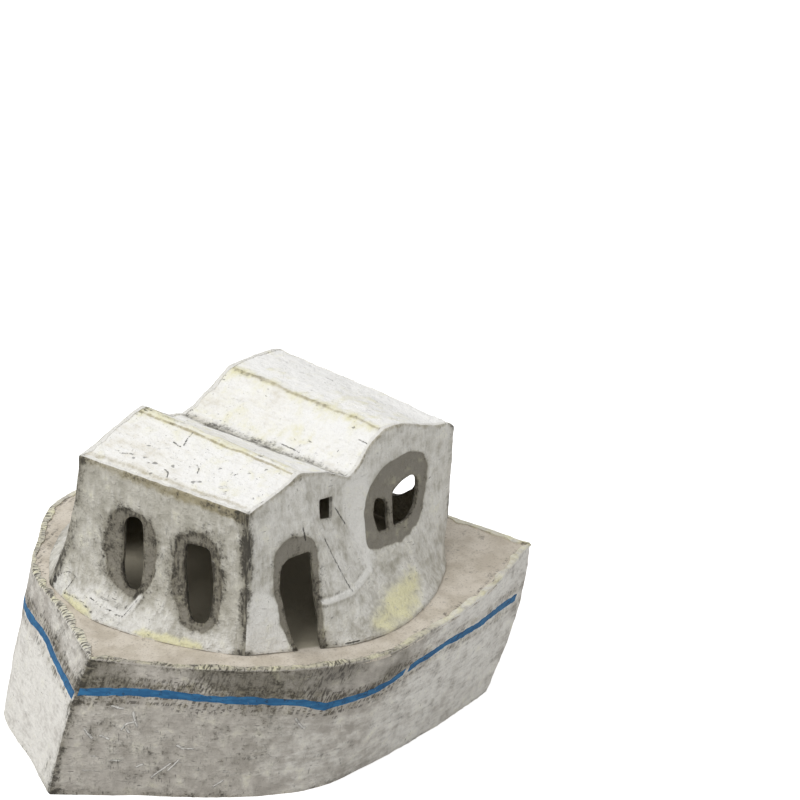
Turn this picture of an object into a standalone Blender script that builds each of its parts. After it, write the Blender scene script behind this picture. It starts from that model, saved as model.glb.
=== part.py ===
"""Cardboard houseboat model: bent card pieces glued together and covered in pasted paper.

Frame: metres, +Z up, the bow towards -X, starboard towards +Y, origin under the middle of the hull.
"""
import bpy
import bmesh
import numpy as np
from mathutils import Matrix, Vector

# Card and joints
CARD = 0.0025
GAP = 0.0003
CORNER_GAP = 0.0007
ROOF_GAP = 0.0006
STRIPE_THICKNESS = 0.0004
STRIPE_WIDTH = 0.0046

# Heights
HULL_HEIGHT = 0.090

# Hull lines, as stations (deck x, deck y, foot x, foot y, swell x, swell y) from the stem to the stern.
# The foot is further forward than the deck, so the stem and the stern both lean aft.
# The swell is how far the side stands out at half its height from a straight line between deck and foot.
STEM = (-0.1386, -0.0143, -0.1680, -0.0075, -0.0050, 0.0)
PORT_BOW = (-0.1030, -0.0690, -0.1320, -0.0470, -0.0015, -0.0010)
PORT_CHEEK = (-0.0710, -0.1060, -0.0830, -0.1000, 0.0, 0.0)
PORT_SHOULDER = (-0.0450, -0.1265, -0.0440, -0.1240, 0.0, 0.0)
PORT_WAIST = (-0.0090, -0.1440, -0.0100, -0.1285, 0.0, 0.0)
PORT_BEAM = (0.0350, -0.1452, 0.0230, -0.1290, 0.0, 0.0)
PORT_QUARTER = (0.1000, -0.1380, 0.0700, -0.1275, 0.0020, -0.0008)
PORT_STERN = (0.1680, -0.1165, 0.1215, -0.1232, 0.0070, -0.0012)
STARBOARD_STERN = (0.1390, 0.1120, 0.0950, 0.1075, 0.0070, 0.0015)
STARBOARD_QUARTER = (0.0850, 0.1360, 0.0590, 0.1240, 0.0015, 0.0010)
STARBOARD_BEAM = (0.0330, 0.1468, 0.0130, 0.1300, 0.0, 0.0)
STARBOARD_WAIST = (-0.0110, 0.1440, -0.0370, 0.1270, 0.0, 0.0)
STARBOARD_SHOULDER = (-0.0510, 0.1180, -0.0830, 0.1080, 0.0, 0.0)
STARBOARD_CHEEK = (-0.0790, 0.0960, -0.1190, 0.0820, 0.0, 0.0)
STARBOARD_BOW = (-0.1090, 0.0400, -0.1450, 0.0340, -0.0015, 0.0010)

# Cabin corners at the eaves (x, y), and where the flared wall ends on the deck there
FRONT_PORT_TOP = (-0.0685, -0.0815)
FRONT_PORT_FOOT = (-0.0700, -0.0820)
FRONT_STARBOARD_TOP = (-0.0865, 0.0475)
FRONT_STARBOARD_FOOT = (-0.0890, 0.0700)
AFT_PORT_TOP = (0.1265, -0.0830)
AFT_PORT_FOOT = (0.1250, -0.0800)
AFT_STARBOARD_TOP = (0.1140, 0.0570)
AFT_STARBOARD_FOOT = (0.1160, 0.0720)

# The flared foot of each wall between its corners (x, y), on the deck
PORT_FOOT = ((-0.0416, -0.1020), (-0.0085, -0.1225), (0.0230, -0.1280), (0.0490, -0.1240), (0.0750, -0.1150),
             (0.1000, -0.1010))
STARBOARD_FOOT = ((-0.0650, 0.0930), (-0.0350, 0.1120), (0.0050, 0.1220), (0.0450, 0.1200), (0.0850, 0.1040))
FRONT_FOOT = ((-0.0980, 0.0450), (-0.1035, 0.0180), (-0.1010, -0.0060), (-0.0935, -0.0330), (-0.0830, -0.0590))
AFT_FOOT = ((0.1280, -0.0500), (0.1300, -0.0100), (0.1250, 0.0350))

# How quickly a flared foot sweeps up into its wall: 1 is a straight slope, higher is a lower, tighter curve.
# Each wall has its own flare between its corners, and the port wall's changes on its way aft.
FRONT_PORT_FLARE = 6.0
FRONT_STARBOARD_FLARE = 1.6
AFT_PORT_FLARE = 1.0
AFT_STARBOARD_FLARE = 3.2
FRONT_WALL_FLARE = 6.0
AFT_WALL_FLARE = 4.0
STARBOARD_WALL_FLARE = 4.0
PORT_WALL_FLARE_FRONT = 1.0
PORT_WALL_FLARE_AFT = 2.6
FLARE_CHANGE_START = -0.0200
FLARE_CHANGE_END = 0.0400
CORNER_SHARE = 0.22

# Roof folds from the front eave to the aft eave, as (x, height above the deck) at each gable
PORT_FRONT_FOLDS = ((-0.0700, 0.0975), (-0.0390, 0.1035), (-0.0200, 0.1090), (0.0040, 0.1005), (0.0250, 0.0890))
STARBOARD_FRONT_FOLDS = ((-0.0880, 0.0985), (-0.0570, 0.1055), (-0.0260, 0.1125), (-0.0010, 0.0965), (0.0140, 0.0910))
PORT_REAR_FOLDS = ((0.0250, 0.0890), (0.0340, 0.0940), (0.0420, 0.1045), (0.0570, 0.1110), (0.0730, 0.1098),
                   (0.1080, 0.0950), (0.1210, 0.0930), (0.1280, 0.0865))
STARBOARD_REAR_FOLDS = ((0.0140, 0.0910), (0.0250, 0.0928), (0.0430, 0.1000), (0.0590, 0.1090), (0.0890, 0.1065),
                        (0.1046, 0.1042), (0.1120, 0.1010), (0.1160, 0.0960))
EAVE_OVERHANG = 0.0010

# Openings: outlines as (along the wall, height above the deck), with a corner radius
SLOT_CORNER = 0.0060
STARBOARD_SLOT = ((-0.0045, 0.0215), (0.0110, 0.0185), (0.0155, 0.0420), (0.0160, 0.0700), (-0.0010, 0.0700),
                  (-0.0040, 0.0300))
PORT_SLOT = ((-0.0556, 0.0125), (-0.0455, 0.0120), (-0.0340, 0.0300), (-0.0315, 0.0645), (-0.0538, 0.0645))
DOOR_CORNER = 0.0030
DOOR = ((-0.0415, -0.0050), (-0.0310, -0.0050), (-0.0288, 0.0150), (-0.0243, 0.0606), (-0.0400, 0.0585),
        (-0.0452, 0.0540), (-0.0470, 0.0390), (-0.0455, 0.0180))
SMALL_WINDOW_CORNER = 0.0015
SMALL_WINDOW = ((-0.0094, 0.0744), (0.0044, 0.0698), (0.0086, 0.0822), (-0.0057, 0.0856))
PANE_CORNER = 0.0022
FORWARD_PANE = ((0.0435, 0.0461), (0.0526, 0.0455), (0.0570, 0.0607), (0.0537, 0.0640), (0.0490, 0.0666),
                (0.0460, 0.0658), (0.0424, 0.0573))
AFT_PANE = ((0.0574, 0.0453), (0.0725, 0.0447), (0.0834, 0.0482), (0.0893, 0.0578), (0.0895, 0.0658),
            (0.0837, 0.0694), (0.0739, 0.0691), (0.0630, 0.0658))
HIDDEN_WINDOW_CORNER = 0.0050
STARBOARD_WINDOW = ((-0.0620, 0.0190), (-0.0390, 0.0190), (-0.0310, 0.0350), (-0.0300, 0.0580), (-0.0600, 0.0580))
AFT_WINDOW = ((-0.0560, 0.0360), (-0.0400, 0.0228), (-0.0100, 0.0200), (-0.0080, 0.0620), (-0.0540, 0.0640))

# Blue stripe: its middle as (share of the way from the stem to the stern, height on the hull). It starts, breaks
# and stops at shares of the way too.
PORT_STRIPE = ((0.000, 0.0685), (0.090, 0.0713), (0.150, 0.0712), (0.220, 0.0692), (0.300, 0.0680), (0.390, 0.0645),
               (0.436, 0.0595), (0.476, 0.0608), (0.522, 0.0618), (0.600, 0.0668), (0.705, 0.0696), (0.838, 0.0658),
               (0.969, 0.0592))
STARBOARD_STRIPE = ((0.000, 0.0650), (0.100, 0.0652), (0.175, 0.0668), (0.230, 0.0685), (0.300, 0.0670),
                    (0.400, 0.0640), (1.000, 0.0600))
PORT_STRIPE_START = 0.004
PORT_STRIPE_BREAK = 0.594
PORT_STRIPE_STOP = 0.969
STRIPE_BREAK_SHARE = 0.012
STARBOARD_STRIPE_START = 0.008
STARBOARD_STRIPE_STOP = 0.988

# How finely curved pieces are divided
SIDE_COLUMNS = 30
SIDE_ROWS = 7
WALL_COLUMNS = 22
WALL_ROWS = 12
ROOF_COLUMNS = 16
ROWS_TO_FOOT = 1.6
CORNER_STEPS = 5
FOOT_POINTS = 600
NEAR_COLUMN = 0.005
NEAR_FOLD = 0.015


def clear_scene():
    """Remove every object, so that the model starts from an empty scene."""
    for old in list(bpy.data.objects):
        bpy.data.objects.remove(old, do_unlink=True)


def new_collection(name):
    """A collection linked to the scene."""
    collection = bpy.data.collections.new(name)
    bpy.context.scene.collection.children.link(collection)
    return collection


def finish_material(name, colour, roughness):
    """A plain painted-paper finish."""
    material = bpy.data.materials.new(name)
    material.use_nodes = True
    shader = material.node_tree.nodes["Principled BSDF"]
    shader.inputs["Base Color"].default_value = (*colour, 1.0)
    shader.inputs["Roughness"].default_value = roughness
    shader.inputs["Metallic"].default_value = 0.0
    return material


def mesh_object(name, mesh, collection, material=None):
    """An object that holds a mesh, in its collection, with its finish."""
    piece = bpy.data.objects.new(name, mesh)
    collection.objects.link(piece)
    if material is not None:
        mesh.materials.append(material)
    return piece


def fair_line(points, ask):
    """Points on a smooth curve through the given ones, at fractions of its chord length."""
    points = np.asarray(points, float)
    steps = np.linalg.norm(np.diff(points, axis=0), axis=1)
    along = np.concatenate(([0.0], np.cumsum(steps)))
    slopes = np.gradient(points, along, axis=0)
    where = np.clip(np.asarray(ask) * along[-1], 0.0, along[-1])
    i = np.clip(np.searchsorted(along, where, side="right") - 1, 0, len(steps) - 1)
    t = ((where - along[i]) / steps[i])[:, None]
    span = steps[i][:, None]
    return ((2 * t**3 - 3 * t**2 + 1) * points[i] + (t**3 - 2 * t**2 + t) * span * slopes[i]
            + (3 * t**2 - 2 * t**3) * points[i + 1] + (t**3 - t**2) * span * slopes[i + 1])


def unit(vector):
    """The vector at length one."""
    return vector / np.linalg.norm(vector)


def left_normals(line):
    """Unit normals to the left of a line, one a point."""
    ahead = np.gradient(line, axis=0)
    ahead /= np.linalg.norm(ahead, axis=1)[:, None]
    return np.stack((-ahead[:, 1], ahead[:, 0]), axis=1)


def joined_strip(line, before, after, laps):
    """Outer and inner lines of a card strip that meets its neighbours at both ends.

    line runs with the inside on its left. before and after are the next points on the neighbours.
    Where laps says so, the strip covers its neighbour's end, and otherwise it stops against its inner face.
    """
    outer = line.copy()
    inner = line + left_normals(line) * CARD
    for end, beside, neighbour, lap in ((0, 1, before, laps[0]), (-1, -2, after, laps[1])):
        corner = line[end].copy()
        own_way = unit(line[beside] - corner)
        other_way = unit(np.asarray(neighbour) - corner)
        sine = abs(own_way[0] * other_way[1] - own_way[1] * other_way[0])
        if not lap:
            outer[end] = corner + own_way * (CARD + CORNER_GAP) / sine
        inner[end] = outer[end] + other_way * CARD / sine
    return outer, inner


def card_solid(name, outer, inner, collection, material):
    """A closed card piece lofted between its outer and its inner grid of points (rows, columns, xyz)."""
    rows, columns = outer.shape[:2]
    number = np.arange(rows * columns).reshape(rows, columns)
    lower, upper = number[:-1], number[1:]
    quads = np.stack((lower[:, :-1], lower[:, 1:], upper[:, 1:], upper[:, :-1]), axis=-1).reshape(-1, 4)
    rim = np.concatenate((number[0, :-1], number[:-1, -1], number[-1, :0:-1], number[:0:-1, 0]))
    after = np.roll(rim, -1)
    shift = rows * columns
    border = np.stack((rim, rim + shift, after + shift, after), axis=-1)
    faces = np.concatenate((quads, quads[:, ::-1] + shift, border))
    mesh = bpy.data.meshes.new(name)
    points = np.concatenate((outer.reshape(-1, 3), inner.reshape(-1, 3)))
    mesh.from_pydata(points.tolist(), [], faces.tolist())
    work = bmesh.new()
    work.from_mesh(mesh)
    bmesh.ops.recalc_face_normals(work, faces=work.faces)
    work.to_mesh(mesh)
    work.free()
    return mesh_object(name, mesh, collection, material)


def flat_plate(name, outline, thickness, place, collection, material=None):
    """A flat outline extruded to a thickness about its own plane, as a mesh."""
    curve = bpy.data.curves.new(name, "CURVE")
    curve.dimensions = "2D"
    curve.fill_mode = "BOTH"
    curve.extrude = thickness / 2
    spline = curve.splines.new("POLY")
    spline.points.add(len(outline) - 1)
    for point, (x, y) in zip(spline.points, outline):
        point.co = (x, y, 0.0, 1.0)
    spline.use_cyclic_u = True
    shape = bpy.data.objects.new(name, curve)
    collection.objects.link(shape)
    view = bpy.context.evaluated_depsgraph_get()
    mesh = bpy.data.meshes.new_from_object(shape.evaluated_get(view))
    bpy.data.objects.remove(shape, do_unlink=True)
    work = bmesh.new()
    work.from_mesh(mesh)
    bmesh.ops.remove_doubles(work, verts=work.verts, dist=0.00001)
    bmesh.ops.transform(work, matrix=place, verts=work.verts)
    bmesh.ops.recalc_face_normals(work, faces=work.faces)
    work.to_mesh(mesh)
    work.free()
    mesh.materials.clear()
    return mesh_object(name, mesh, collection, material)


def rounded_outline(corners, radius):
    """An outline whose corners are rounded, each by a short curve that starts radius away from it."""
    corners = [Vector(corner) for corner in corners]
    outline = []
    for before, corner, after in zip(corners[-1:] + corners[:-1], corners, corners[1:] + corners[:1]):
        reach_in = min(radius, 0.5 * (before - corner).length)
        reach_out = min(radius, 0.5 * (after - corner).length)
        start = corner + (before - corner).normalized() * reach_in
        stop = corner + (after - corner).normalized() * reach_out
        for step in range(CORNER_STEPS + 1):
            t = step / CORNER_STEPS
            outline.append(tuple((1 - t) ** 2 * start + 2 * t * (1 - t) * corner + t**2 * stop))
    return outline


def cut_opening(wall, name, outline, radius, across, cutters):
    """Cut an outline through a wall. across is the wall's crossing range on X or Y, as (axis, low, high)."""
    axis, low, high = across
    depth, middle = high - low, (high + low) / 2
    if axis == "y":
        turn = Matrix(((1, 0, 0, 0), (0, 0, -1, middle), (0, 1, 0, HULL_HEIGHT), (0, 0, 0, 1)))
    else:
        turn = Matrix(((0, 0, 1, middle), (1, 0, 0, 0), (0, 1, 0, HULL_HEIGHT), (0, 0, 0, 1)))
    cutter = flat_plate(name, rounded_outline(outline, radius), depth, turn, cutters)
    cutter.hide_render = True
    cutter.display_type = "WIRE"
    cut = wall.modifiers.new(name, "BOOLEAN")
    cut.operation = "DIFFERENCE"
    cut.solver = "EXACT"
    cut.object = cutter


def hull_lines():
    """Deck and foot lines of both sides, as (deck points, foot points) from the stem to the stern."""
    port = np.array((STEM, PORT_BOW, PORT_CHEEK, PORT_SHOULDER, PORT_WAIST, PORT_BEAM, PORT_QUARTER, PORT_STERN))
    starboard = np.array((STEM, STARBOARD_BOW, STARBOARD_CHEEK, STARBOARD_SHOULDER, STARBOARD_WAIST, STARBOARD_BEAM,
                          STARBOARD_QUARTER, STARBOARD_STERN))
    return port, starboard


def hull_side(stations, height, ask):
    """The outer line of one hull side at the asked fractions from the stem to the stern.

    height is one height or one a fraction. Each section is a parabola through the foot, the middle and the deck.
    """
    share = np.broadcast_to(np.asarray(height) / HULL_HEIGHT, len(ask))[:, None]
    deck = fair_line(stations[:, :2], ask)
    foot = fair_line(stations[:, 2:4], ask)
    middle = fair_line((stations[:, :2] + stations[:, 2:4]) / 2 + stations[:, 4:], ask)
    lower = foot * (1 - share) * (1 - 2 * share)
    return lower + middle * 4 * share * (1 - share) + deck * share * (2 * share - 1)


def hull_outline(height):
    """The closed outline of the hull at a height."""
    ask = np.linspace(0, 1, SIDE_COLUMNS)
    port, starboard = hull_lines()
    port_line = hull_side(port, height, ask)
    starboard_line = hull_side(starboard, height, ask)
    return np.concatenate((port_line, starboard_line[:0:-1]))


def at_height(line, height):
    """Lift a flat line to a height."""
    return np.column_stack((line, np.full(len(line), height)))


def make_hull(collection, finishes):
    """The bottom, both bent sides, the transom and the deck."""
    level = Matrix.Translation((0, 0, CARD / 2))
    flat_plate("hull_bottom", hull_outline(0.0), CARD, level, collection, finishes["hull"])
    level = Matrix.Translation((0, 0, HULL_HEIGHT - CARD / 2))
    flat_plate("deck", hull_outline(HULL_HEIGHT), CARD, level, collection, finishes["deck"])

    ask = np.linspace(0, 1, SIDE_COLUMNS)
    across = np.linspace(0, 1, 9)[:, None]
    grids = {"port_side": ([], []), "transom": ([], []), "starboard_side": ([], [])}
    port, starboard = hull_lines()
    for height in np.linspace(CARD + GAP, HULL_HEIGHT - CARD - GAP, SIDE_ROWS):
        port_line = hull_side(port, height, ask)
        starboard_line = hull_side(starboard, height, ask)[::-1]
        stern_line = port_line[-1] + (starboard_line[0] - port_line[-1]) * across
        strips = (("port_side", port_line, starboard_line[-2], stern_line[1], (True, False)),
                  ("transom", stern_line, port_line[-2], starboard_line[1], (True, True)),
                  ("starboard_side", starboard_line, stern_line[-2], port_line[1], (False, False)))
        for name, line, before, after, laps in strips:
            outer, inner = joined_strip(line, before, after, laps)
            grids[name][0].append(at_height(outer, height))
            grids[name][1].append(at_height(inner, height))
    for name, (outer, inner) in grids.items():
        card_solid(name, np.array(outer), np.array(inner), collection, finishes["hull"])


def make_stripes(collection, finish):
    """Thin blue paper strips that follow the hull sides."""
    port, starboard = hull_lines()
    ask = np.linspace(0, 1, SIDE_COLUMNS)
    fore_span = (PORT_STRIPE_START, PORT_STRIPE_BREAK)
    aft_span = (PORT_STRIPE_BREAK + STRIPE_BREAK_SHARE, PORT_STRIPE_STOP)
    starboard_span = (STARBOARD_STRIPE_START, STARBOARD_STRIPE_STOP)
    for name, stations, outward, middle_line, (start, stop) in (
            ("port_stripe_fore", port, -1, PORT_STRIPE, fore_span),
            ("port_stripe_aft", port, -1, PORT_STRIPE, aft_span),
            ("starboard_stripe", starboard, 1, STARBOARD_STRIPE, starboard_span)):
        inside = ask[(ask > start + NEAR_COLUMN) & (ask < stop - NEAR_COLUMN)]
        share = np.concatenate(([start], inside, [stop]))
        middle = np.interp(share, *np.transpose(middle_line))
        outer, inner = [], []
        for edge in (-STRIPE_WIDTH / 2, STRIPE_WIDTH / 2):
            height = middle + edge
            line = hull_side(stations, height, share)
            out = left_normals(line) * outward
            inner.append(np.column_stack((line + out * GAP, height)))
            outer.append(np.column_stack((line + out * (GAP + STRIPE_THICKNESS), height)))
        card_solid(name, np.array(outer), np.array(inner), collection, finish)


def roof_folds(x, y):
    """Places and heights of all roof folds on the line across the roof that passes through (x, y)."""
    port = np.array(PORT_FRONT_FOLDS + PORT_REAR_FOLDS[1:])
    starboard = np.array(STARBOARD_FRONT_FOLDS + STARBOARD_REAR_FOLDS[1:])
    low, high = port_roof_edge(x), starboard_roof_edge(x)
    share = (y - low) / (high - low)
    return port + (starboard - port) * share


def port_roof_edge(x):
    """Y of the roof's port edge."""
    run = (x - FRONT_PORT_TOP[0]) / (AFT_PORT_TOP[0] - FRONT_PORT_TOP[0])
    return FRONT_PORT_TOP[1] + (AFT_PORT_TOP[1] - FRONT_PORT_TOP[1]) * run - EAVE_OVERHANG


def starboard_roof_edge(x):
    """Y of the roof's starboard edge."""
    run = (x - FRONT_STARBOARD_TOP[0]) / (AFT_STARBOARD_TOP[0] - FRONT_STARBOARD_TOP[0])
    return FRONT_STARBOARD_TOP[1] + (AFT_STARBOARD_TOP[1] - FRONT_STARBOARD_TOP[1]) * run + EAVE_OVERHANG


def roof_height(x, y):
    """Height above the deck of the roof's upper face."""
    folds = roof_folds(x, y)
    return float(np.interp(x, folds[:, 0], folds[:, 1]))


def make_roof(collection, finish):
    """Two folded roof sheets, one over each gable, that meet in the valley."""
    for name, port_folds, starboard_folds, ends in (
            ("front_roof", PORT_FRONT_FOLDS, STARBOARD_FRONT_FOLDS, (0.0, -GAP / 2)),
            ("rear_roof", PORT_REAR_FOLDS, STARBOARD_REAR_FOLDS, (GAP / 2, 0.0))):
        port, starboard = np.array(port_folds), np.array(starboard_folds)
        shift = np.zeros(len(port))
        shift[0], shift[-1] = ends
        rows = []
        for share in np.linspace(0, 1, ROOF_COLUMNS):
            folds = port + (starboard - port) * share
            x = folds[:, 0] + shift
            y = port_roof_edge(x) + (starboard_roof_edge(x) - port_roof_edge(x)) * share
            rows.append(np.column_stack((x, y, HULL_HEIGHT + folds[:, 1])))
        upper = np.array(rows)
        lower = upper - np.array((0.0, 0.0, CARD))
        card_solid(name, upper, lower, collection, finish)


def wall_columns(start, stop, folds):
    """Fractions along a side wall, with one at each roof fold."""
    fold_shares = (np.array([fold[0] for fold in folds]) - start) / (stop - start)
    fold_shares = fold_shares[(fold_shares > NEAR_FOLD) & (fold_shares < 1 - NEAR_FOLD)]
    even = np.linspace(0, 1, WALL_COLUMNS)
    far = np.abs(even[:, None] - fold_shares[None, :]).min(axis=1) > NEAR_FOLD
    far[0] = far[-1] = True
    return np.unique(np.concatenate((even[far], fold_shares)))


def foot_on_columns(first, between, last, top_line):
    """The foot line's point below each column of the wall, found along the wall's own direction."""
    points = np.array((first, *between, last))
    dense = fair_line(points, np.linspace(0, 1, FOOT_POINTS))
    way = unit(top_line[-1] - top_line[0])
    across = np.array((-way[1], way[0]))
    run = (dense - top_line[0]) @ way
    off = (dense - top_line[0]) @ across
    start, stop = run[0], run[-1]
    share = ((top_line - top_line[0]) @ way) / ((top_line[-1] - top_line[0]) @ way)
    wanted = start + (stop - start) * share
    return top_line[0] + np.outer(wanted, way) + np.outer(np.interp(wanted, run, off), across)


def cabin_wall_lines():
    """Each wall's top line, foot line and flare, in order round the cabin with the inside on the left."""
    port_all = PORT_FRONT_FOLDS + PORT_REAR_FOLDS
    starboard_all = STARBOARD_FRONT_FOLDS + STARBOARD_REAR_FOLDS
    front_port = (FRONT_PORT_TOP, FRONT_PORT_FOOT, FRONT_PORT_FLARE)
    front_starboard = (FRONT_STARBOARD_TOP, FRONT_STARBOARD_FOOT, FRONT_STARBOARD_FLARE)
    aft_port = (AFT_PORT_TOP, AFT_PORT_FOOT, AFT_PORT_FLARE)
    aft_starboard = (AFT_STARBOARD_TOP, AFT_STARBOARD_FOOT, AFT_STARBOARD_FLARE)
    even = np.linspace(0, 1, WALL_COLUMNS)
    port_share = wall_columns(FRONT_PORT_TOP[0], AFT_PORT_TOP[0], port_all)
    starboard_share = wall_columns(AFT_STARBOARD_TOP[0], FRONT_STARBOARD_TOP[0], starboard_all)
    plan = (("cabin_port_wall", front_port, PORT_FOOT, aft_port, port_share, PORT_WALL_FLARE_AFT),
            ("cabin_aft_wall", aft_port, AFT_FOOT, aft_starboard, even, AFT_WALL_FLARE),
            ("cabin_starboard_wall", aft_starboard, STARBOARD_FOOT[::-1], front_starboard, starboard_share,
             STARBOARD_WALL_FLARE),
            ("cabin_front_wall", front_starboard, FRONT_FOOT, front_port, even, FRONT_WALL_FLARE))
    walls = {}
    for name, start, between, stop, share, middle_flare in plan:
        top = np.array(start[0]) + (np.array(stop[0]) - np.array(start[0])) * share[:, None]
        foot = foot_on_columns(start[1], between, stop[1], top)
        stops = (0, CORNER_SHARE, 1 - CORNER_SHARE, 1)
        flare = np.interp(share, stops, (start[2], middle_flare, middle_flare, stop[2]))
        if name == "cabin_port_wall":
            flare[1:-1] = np.interp(top[1:-1, 0], (FLARE_CHANGE_START, FLARE_CHANGE_END),
                                    (PORT_WALL_FLARE_FRONT, PORT_WALL_FLARE_AFT))
        walls[name] = (top, foot, flare)
    return walls


def wall_line(wall, rise):
    """The wall's outer line at a fraction of its own height."""
    top, foot, flare = wall
    return top + (foot - top) * ((1 - rise) ** flare)[:, None]


def make_cabin(collection, finish):
    """Four flared card walls whose upper edges follow the roof's underside."""
    walls = cabin_wall_lines()
    order = list(walls)
    laps = {"cabin_port_wall": (False, False), "cabin_aft_wall": (True, True),
            "cabin_starboard_wall": (False, False), "cabin_front_wall": (True, True)}
    made = {}
    for i, name in enumerate(order):
        before, after = walls[order[i - 1]], walls[order[(i + 1) % len(order)]]
        grids = ([], [])
        tops = None
        for rise in np.linspace(1, 0, WALL_ROWS) ** ROWS_TO_FOOT:
            pair = joined_strip(wall_line(walls[name], rise), wall_line(before, rise)[-2],
                                wall_line(after, rise)[1], laps[name])
            if tops is None:
                tops = [np.array([roof_height(x, y) - CARD - ROOF_GAP for x, y in line]) for line in pair]
            for grid, line, top in zip(grids, pair, tops):
                height = HULL_HEIGHT + GAP + (top - GAP) * rise
                grid.append(np.column_stack((line, height)))
        made[name] = card_solid(name, np.array(grids[0]), np.array(grids[1]), collection, finish)
    return made


def make_openings(walls, cutters):
    """The door, the windows in view and the plain windows on the hidden walls."""
    front, port = walls["cabin_front_wall"], walls["cabin_port_wall"]
    starboard, aft = walls["cabin_starboard_wall"], walls["cabin_aft_wall"]
    front_range = ("x", -0.125, -0.055)
    port_range = ("y", -0.140, -0.060)
    starboard_range = ("y", 0.030, 0.140)
    aft_range = ("x", 0.100, 0.145)
    cut_opening(front, "starboard_slot", STARBOARD_SLOT, SLOT_CORNER, front_range, cutters)
    cut_opening(front, "port_slot", PORT_SLOT, SLOT_CORNER, front_range, cutters)
    cut_opening(port, "door", DOOR, DOOR_CORNER, port_range, cutters)
    cut_opening(port, "small_window", SMALL_WINDOW, SMALL_WINDOW_CORNER, port_range, cutters)
    cut_opening(port, "forward_pane", FORWARD_PANE, PANE_CORNER, port_range, cutters)
    cut_opening(port, "aft_pane", AFT_PANE, PANE_CORNER, port_range, cutters)
    cut_opening(starboard, "starboard_window", STARBOARD_WINDOW, HIDDEN_WINDOW_CORNER, starboard_range, cutters)
    cut_opening(aft, "aft_window", AFT_WINDOW, HIDDEN_WINDOW_CORNER, aft_range, cutters)


def main():
    """Build the whole houseboat."""
    clear_scene()
    boat = new_collection("cardboard_houseboat")
    cutters = new_collection("cutters")
    finishes = {"hull": finish_material("hull_paper", (0.62, 0.60, 0.56), 0.9),
                "deck": finish_material("deck_paper", (0.45, 0.40, 0.34), 0.9)}
    make_hull(boat, finishes)
    make_stripes(boat, finish_material("blue_stripe", (0.03, 0.14, 0.33), 0.8))
    walls = make_cabin(boat, finish_material("cabin_paper", (0.60, 0.60, 0.56), 0.9))
    make_openings(walls, cutters)
    make_roof(boat, finish_material("roof_paper", (0.72, 0.71, 0.65), 0.9))


main()
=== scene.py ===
# %% [markdown]
# A small houseboat folded from card, papered over and painted white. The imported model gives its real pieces,
# and this lesson dresses them: every card becomes a sheet worked out with numpy, with wavy paper, torn edges
# and worn paint. This first cell loads the frame and keeps its box, because nothing may grow past it.

# %% Load the frame
import itertools

import bpy
import numpy as np
from mathutils import Matrix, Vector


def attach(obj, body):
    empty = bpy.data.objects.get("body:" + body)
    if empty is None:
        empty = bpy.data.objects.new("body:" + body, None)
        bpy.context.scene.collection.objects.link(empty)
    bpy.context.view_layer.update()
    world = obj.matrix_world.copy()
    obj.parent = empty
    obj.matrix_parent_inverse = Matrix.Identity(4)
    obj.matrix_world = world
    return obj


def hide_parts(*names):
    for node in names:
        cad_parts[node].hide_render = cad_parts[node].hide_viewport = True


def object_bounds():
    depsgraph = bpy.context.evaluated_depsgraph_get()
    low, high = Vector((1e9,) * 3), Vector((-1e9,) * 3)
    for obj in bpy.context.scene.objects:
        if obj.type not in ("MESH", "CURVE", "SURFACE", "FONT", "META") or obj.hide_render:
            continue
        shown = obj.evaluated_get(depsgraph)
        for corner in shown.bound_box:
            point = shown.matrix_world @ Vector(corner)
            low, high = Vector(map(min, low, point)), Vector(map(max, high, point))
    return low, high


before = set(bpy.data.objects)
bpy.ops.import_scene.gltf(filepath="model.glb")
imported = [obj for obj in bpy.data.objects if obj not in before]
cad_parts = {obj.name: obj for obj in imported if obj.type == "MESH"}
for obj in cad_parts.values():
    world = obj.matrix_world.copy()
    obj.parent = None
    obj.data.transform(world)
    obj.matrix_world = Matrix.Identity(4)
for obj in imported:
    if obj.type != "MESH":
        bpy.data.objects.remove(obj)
card_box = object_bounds()
print("card model box", card_box)

# %% [markdown]
# The boat was photographed from its port bow, a little from above, with a long lens. The camera is placed by
# its right and up directions in the boat's own frame, with no shift and no blur.

# %% Camera
PICTURE_WIDTH = 800
LENS_PIXELS = 5000.0
SENSOR_WIDTH = 36.0
CAMERA_PLACE = (-2.0788, -1.886, 1.6467)
CAMERA_RIGHT = (0.654533, -0.755393, 0.031096)
CAMERA_UP = (0.325132, 0.318376, 0.890464)


def set_camera():
    """A camera from its right and up directions: its third axis is their cross product and points backwards."""
    lens = bpy.data.cameras.new("boat_camera")
    lens.sensor_width = SENSOR_WIDTH
    lens.lens = LENS_PIXELS / PICTURE_WIDTH * SENSOR_WIDTH
    lens.clip_end = 50.0
    camera = bpy.data.objects.new("boat_camera", lens)
    bpy.context.scene.collection.objects.link(camera)
    turn = np.eye(4)
    turn[:3] = np.stack((CAMERA_RIGHT, CAMERA_UP, np.cross(CAMERA_RIGHT, CAMERA_UP), CAMERA_PLACE), axis=1)
    camera.matrix_world = Matrix(turn.tolist())
    bpy.context.scene.camera = camera
    return lens.lens


print("lens", set_camera(), "mm")

# %% [markdown]
# The light is that of a bright white room: an even world, and one large soft lamp high to the left. The camera
# sees the world as blank white paper.

# %% Light
SKY_STRENGTH = 0.63
LAMP_POWER = 24.0
LAMP_SIZE = 1.8
LAMP_PLACE = (-1.1, 0.45, 2.1)
WHITE = (1.0, 1.0, 1.0, 1.0)


def shader_nodes(owner):
    """The empty node tree of a world or a material, with a maker of nodes and a maker of links."""
    owner.use_nodes = True
    owner.node_tree.nodes.clear()
    return owner.node_tree.nodes.new, owner.node_tree.links.new


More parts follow.
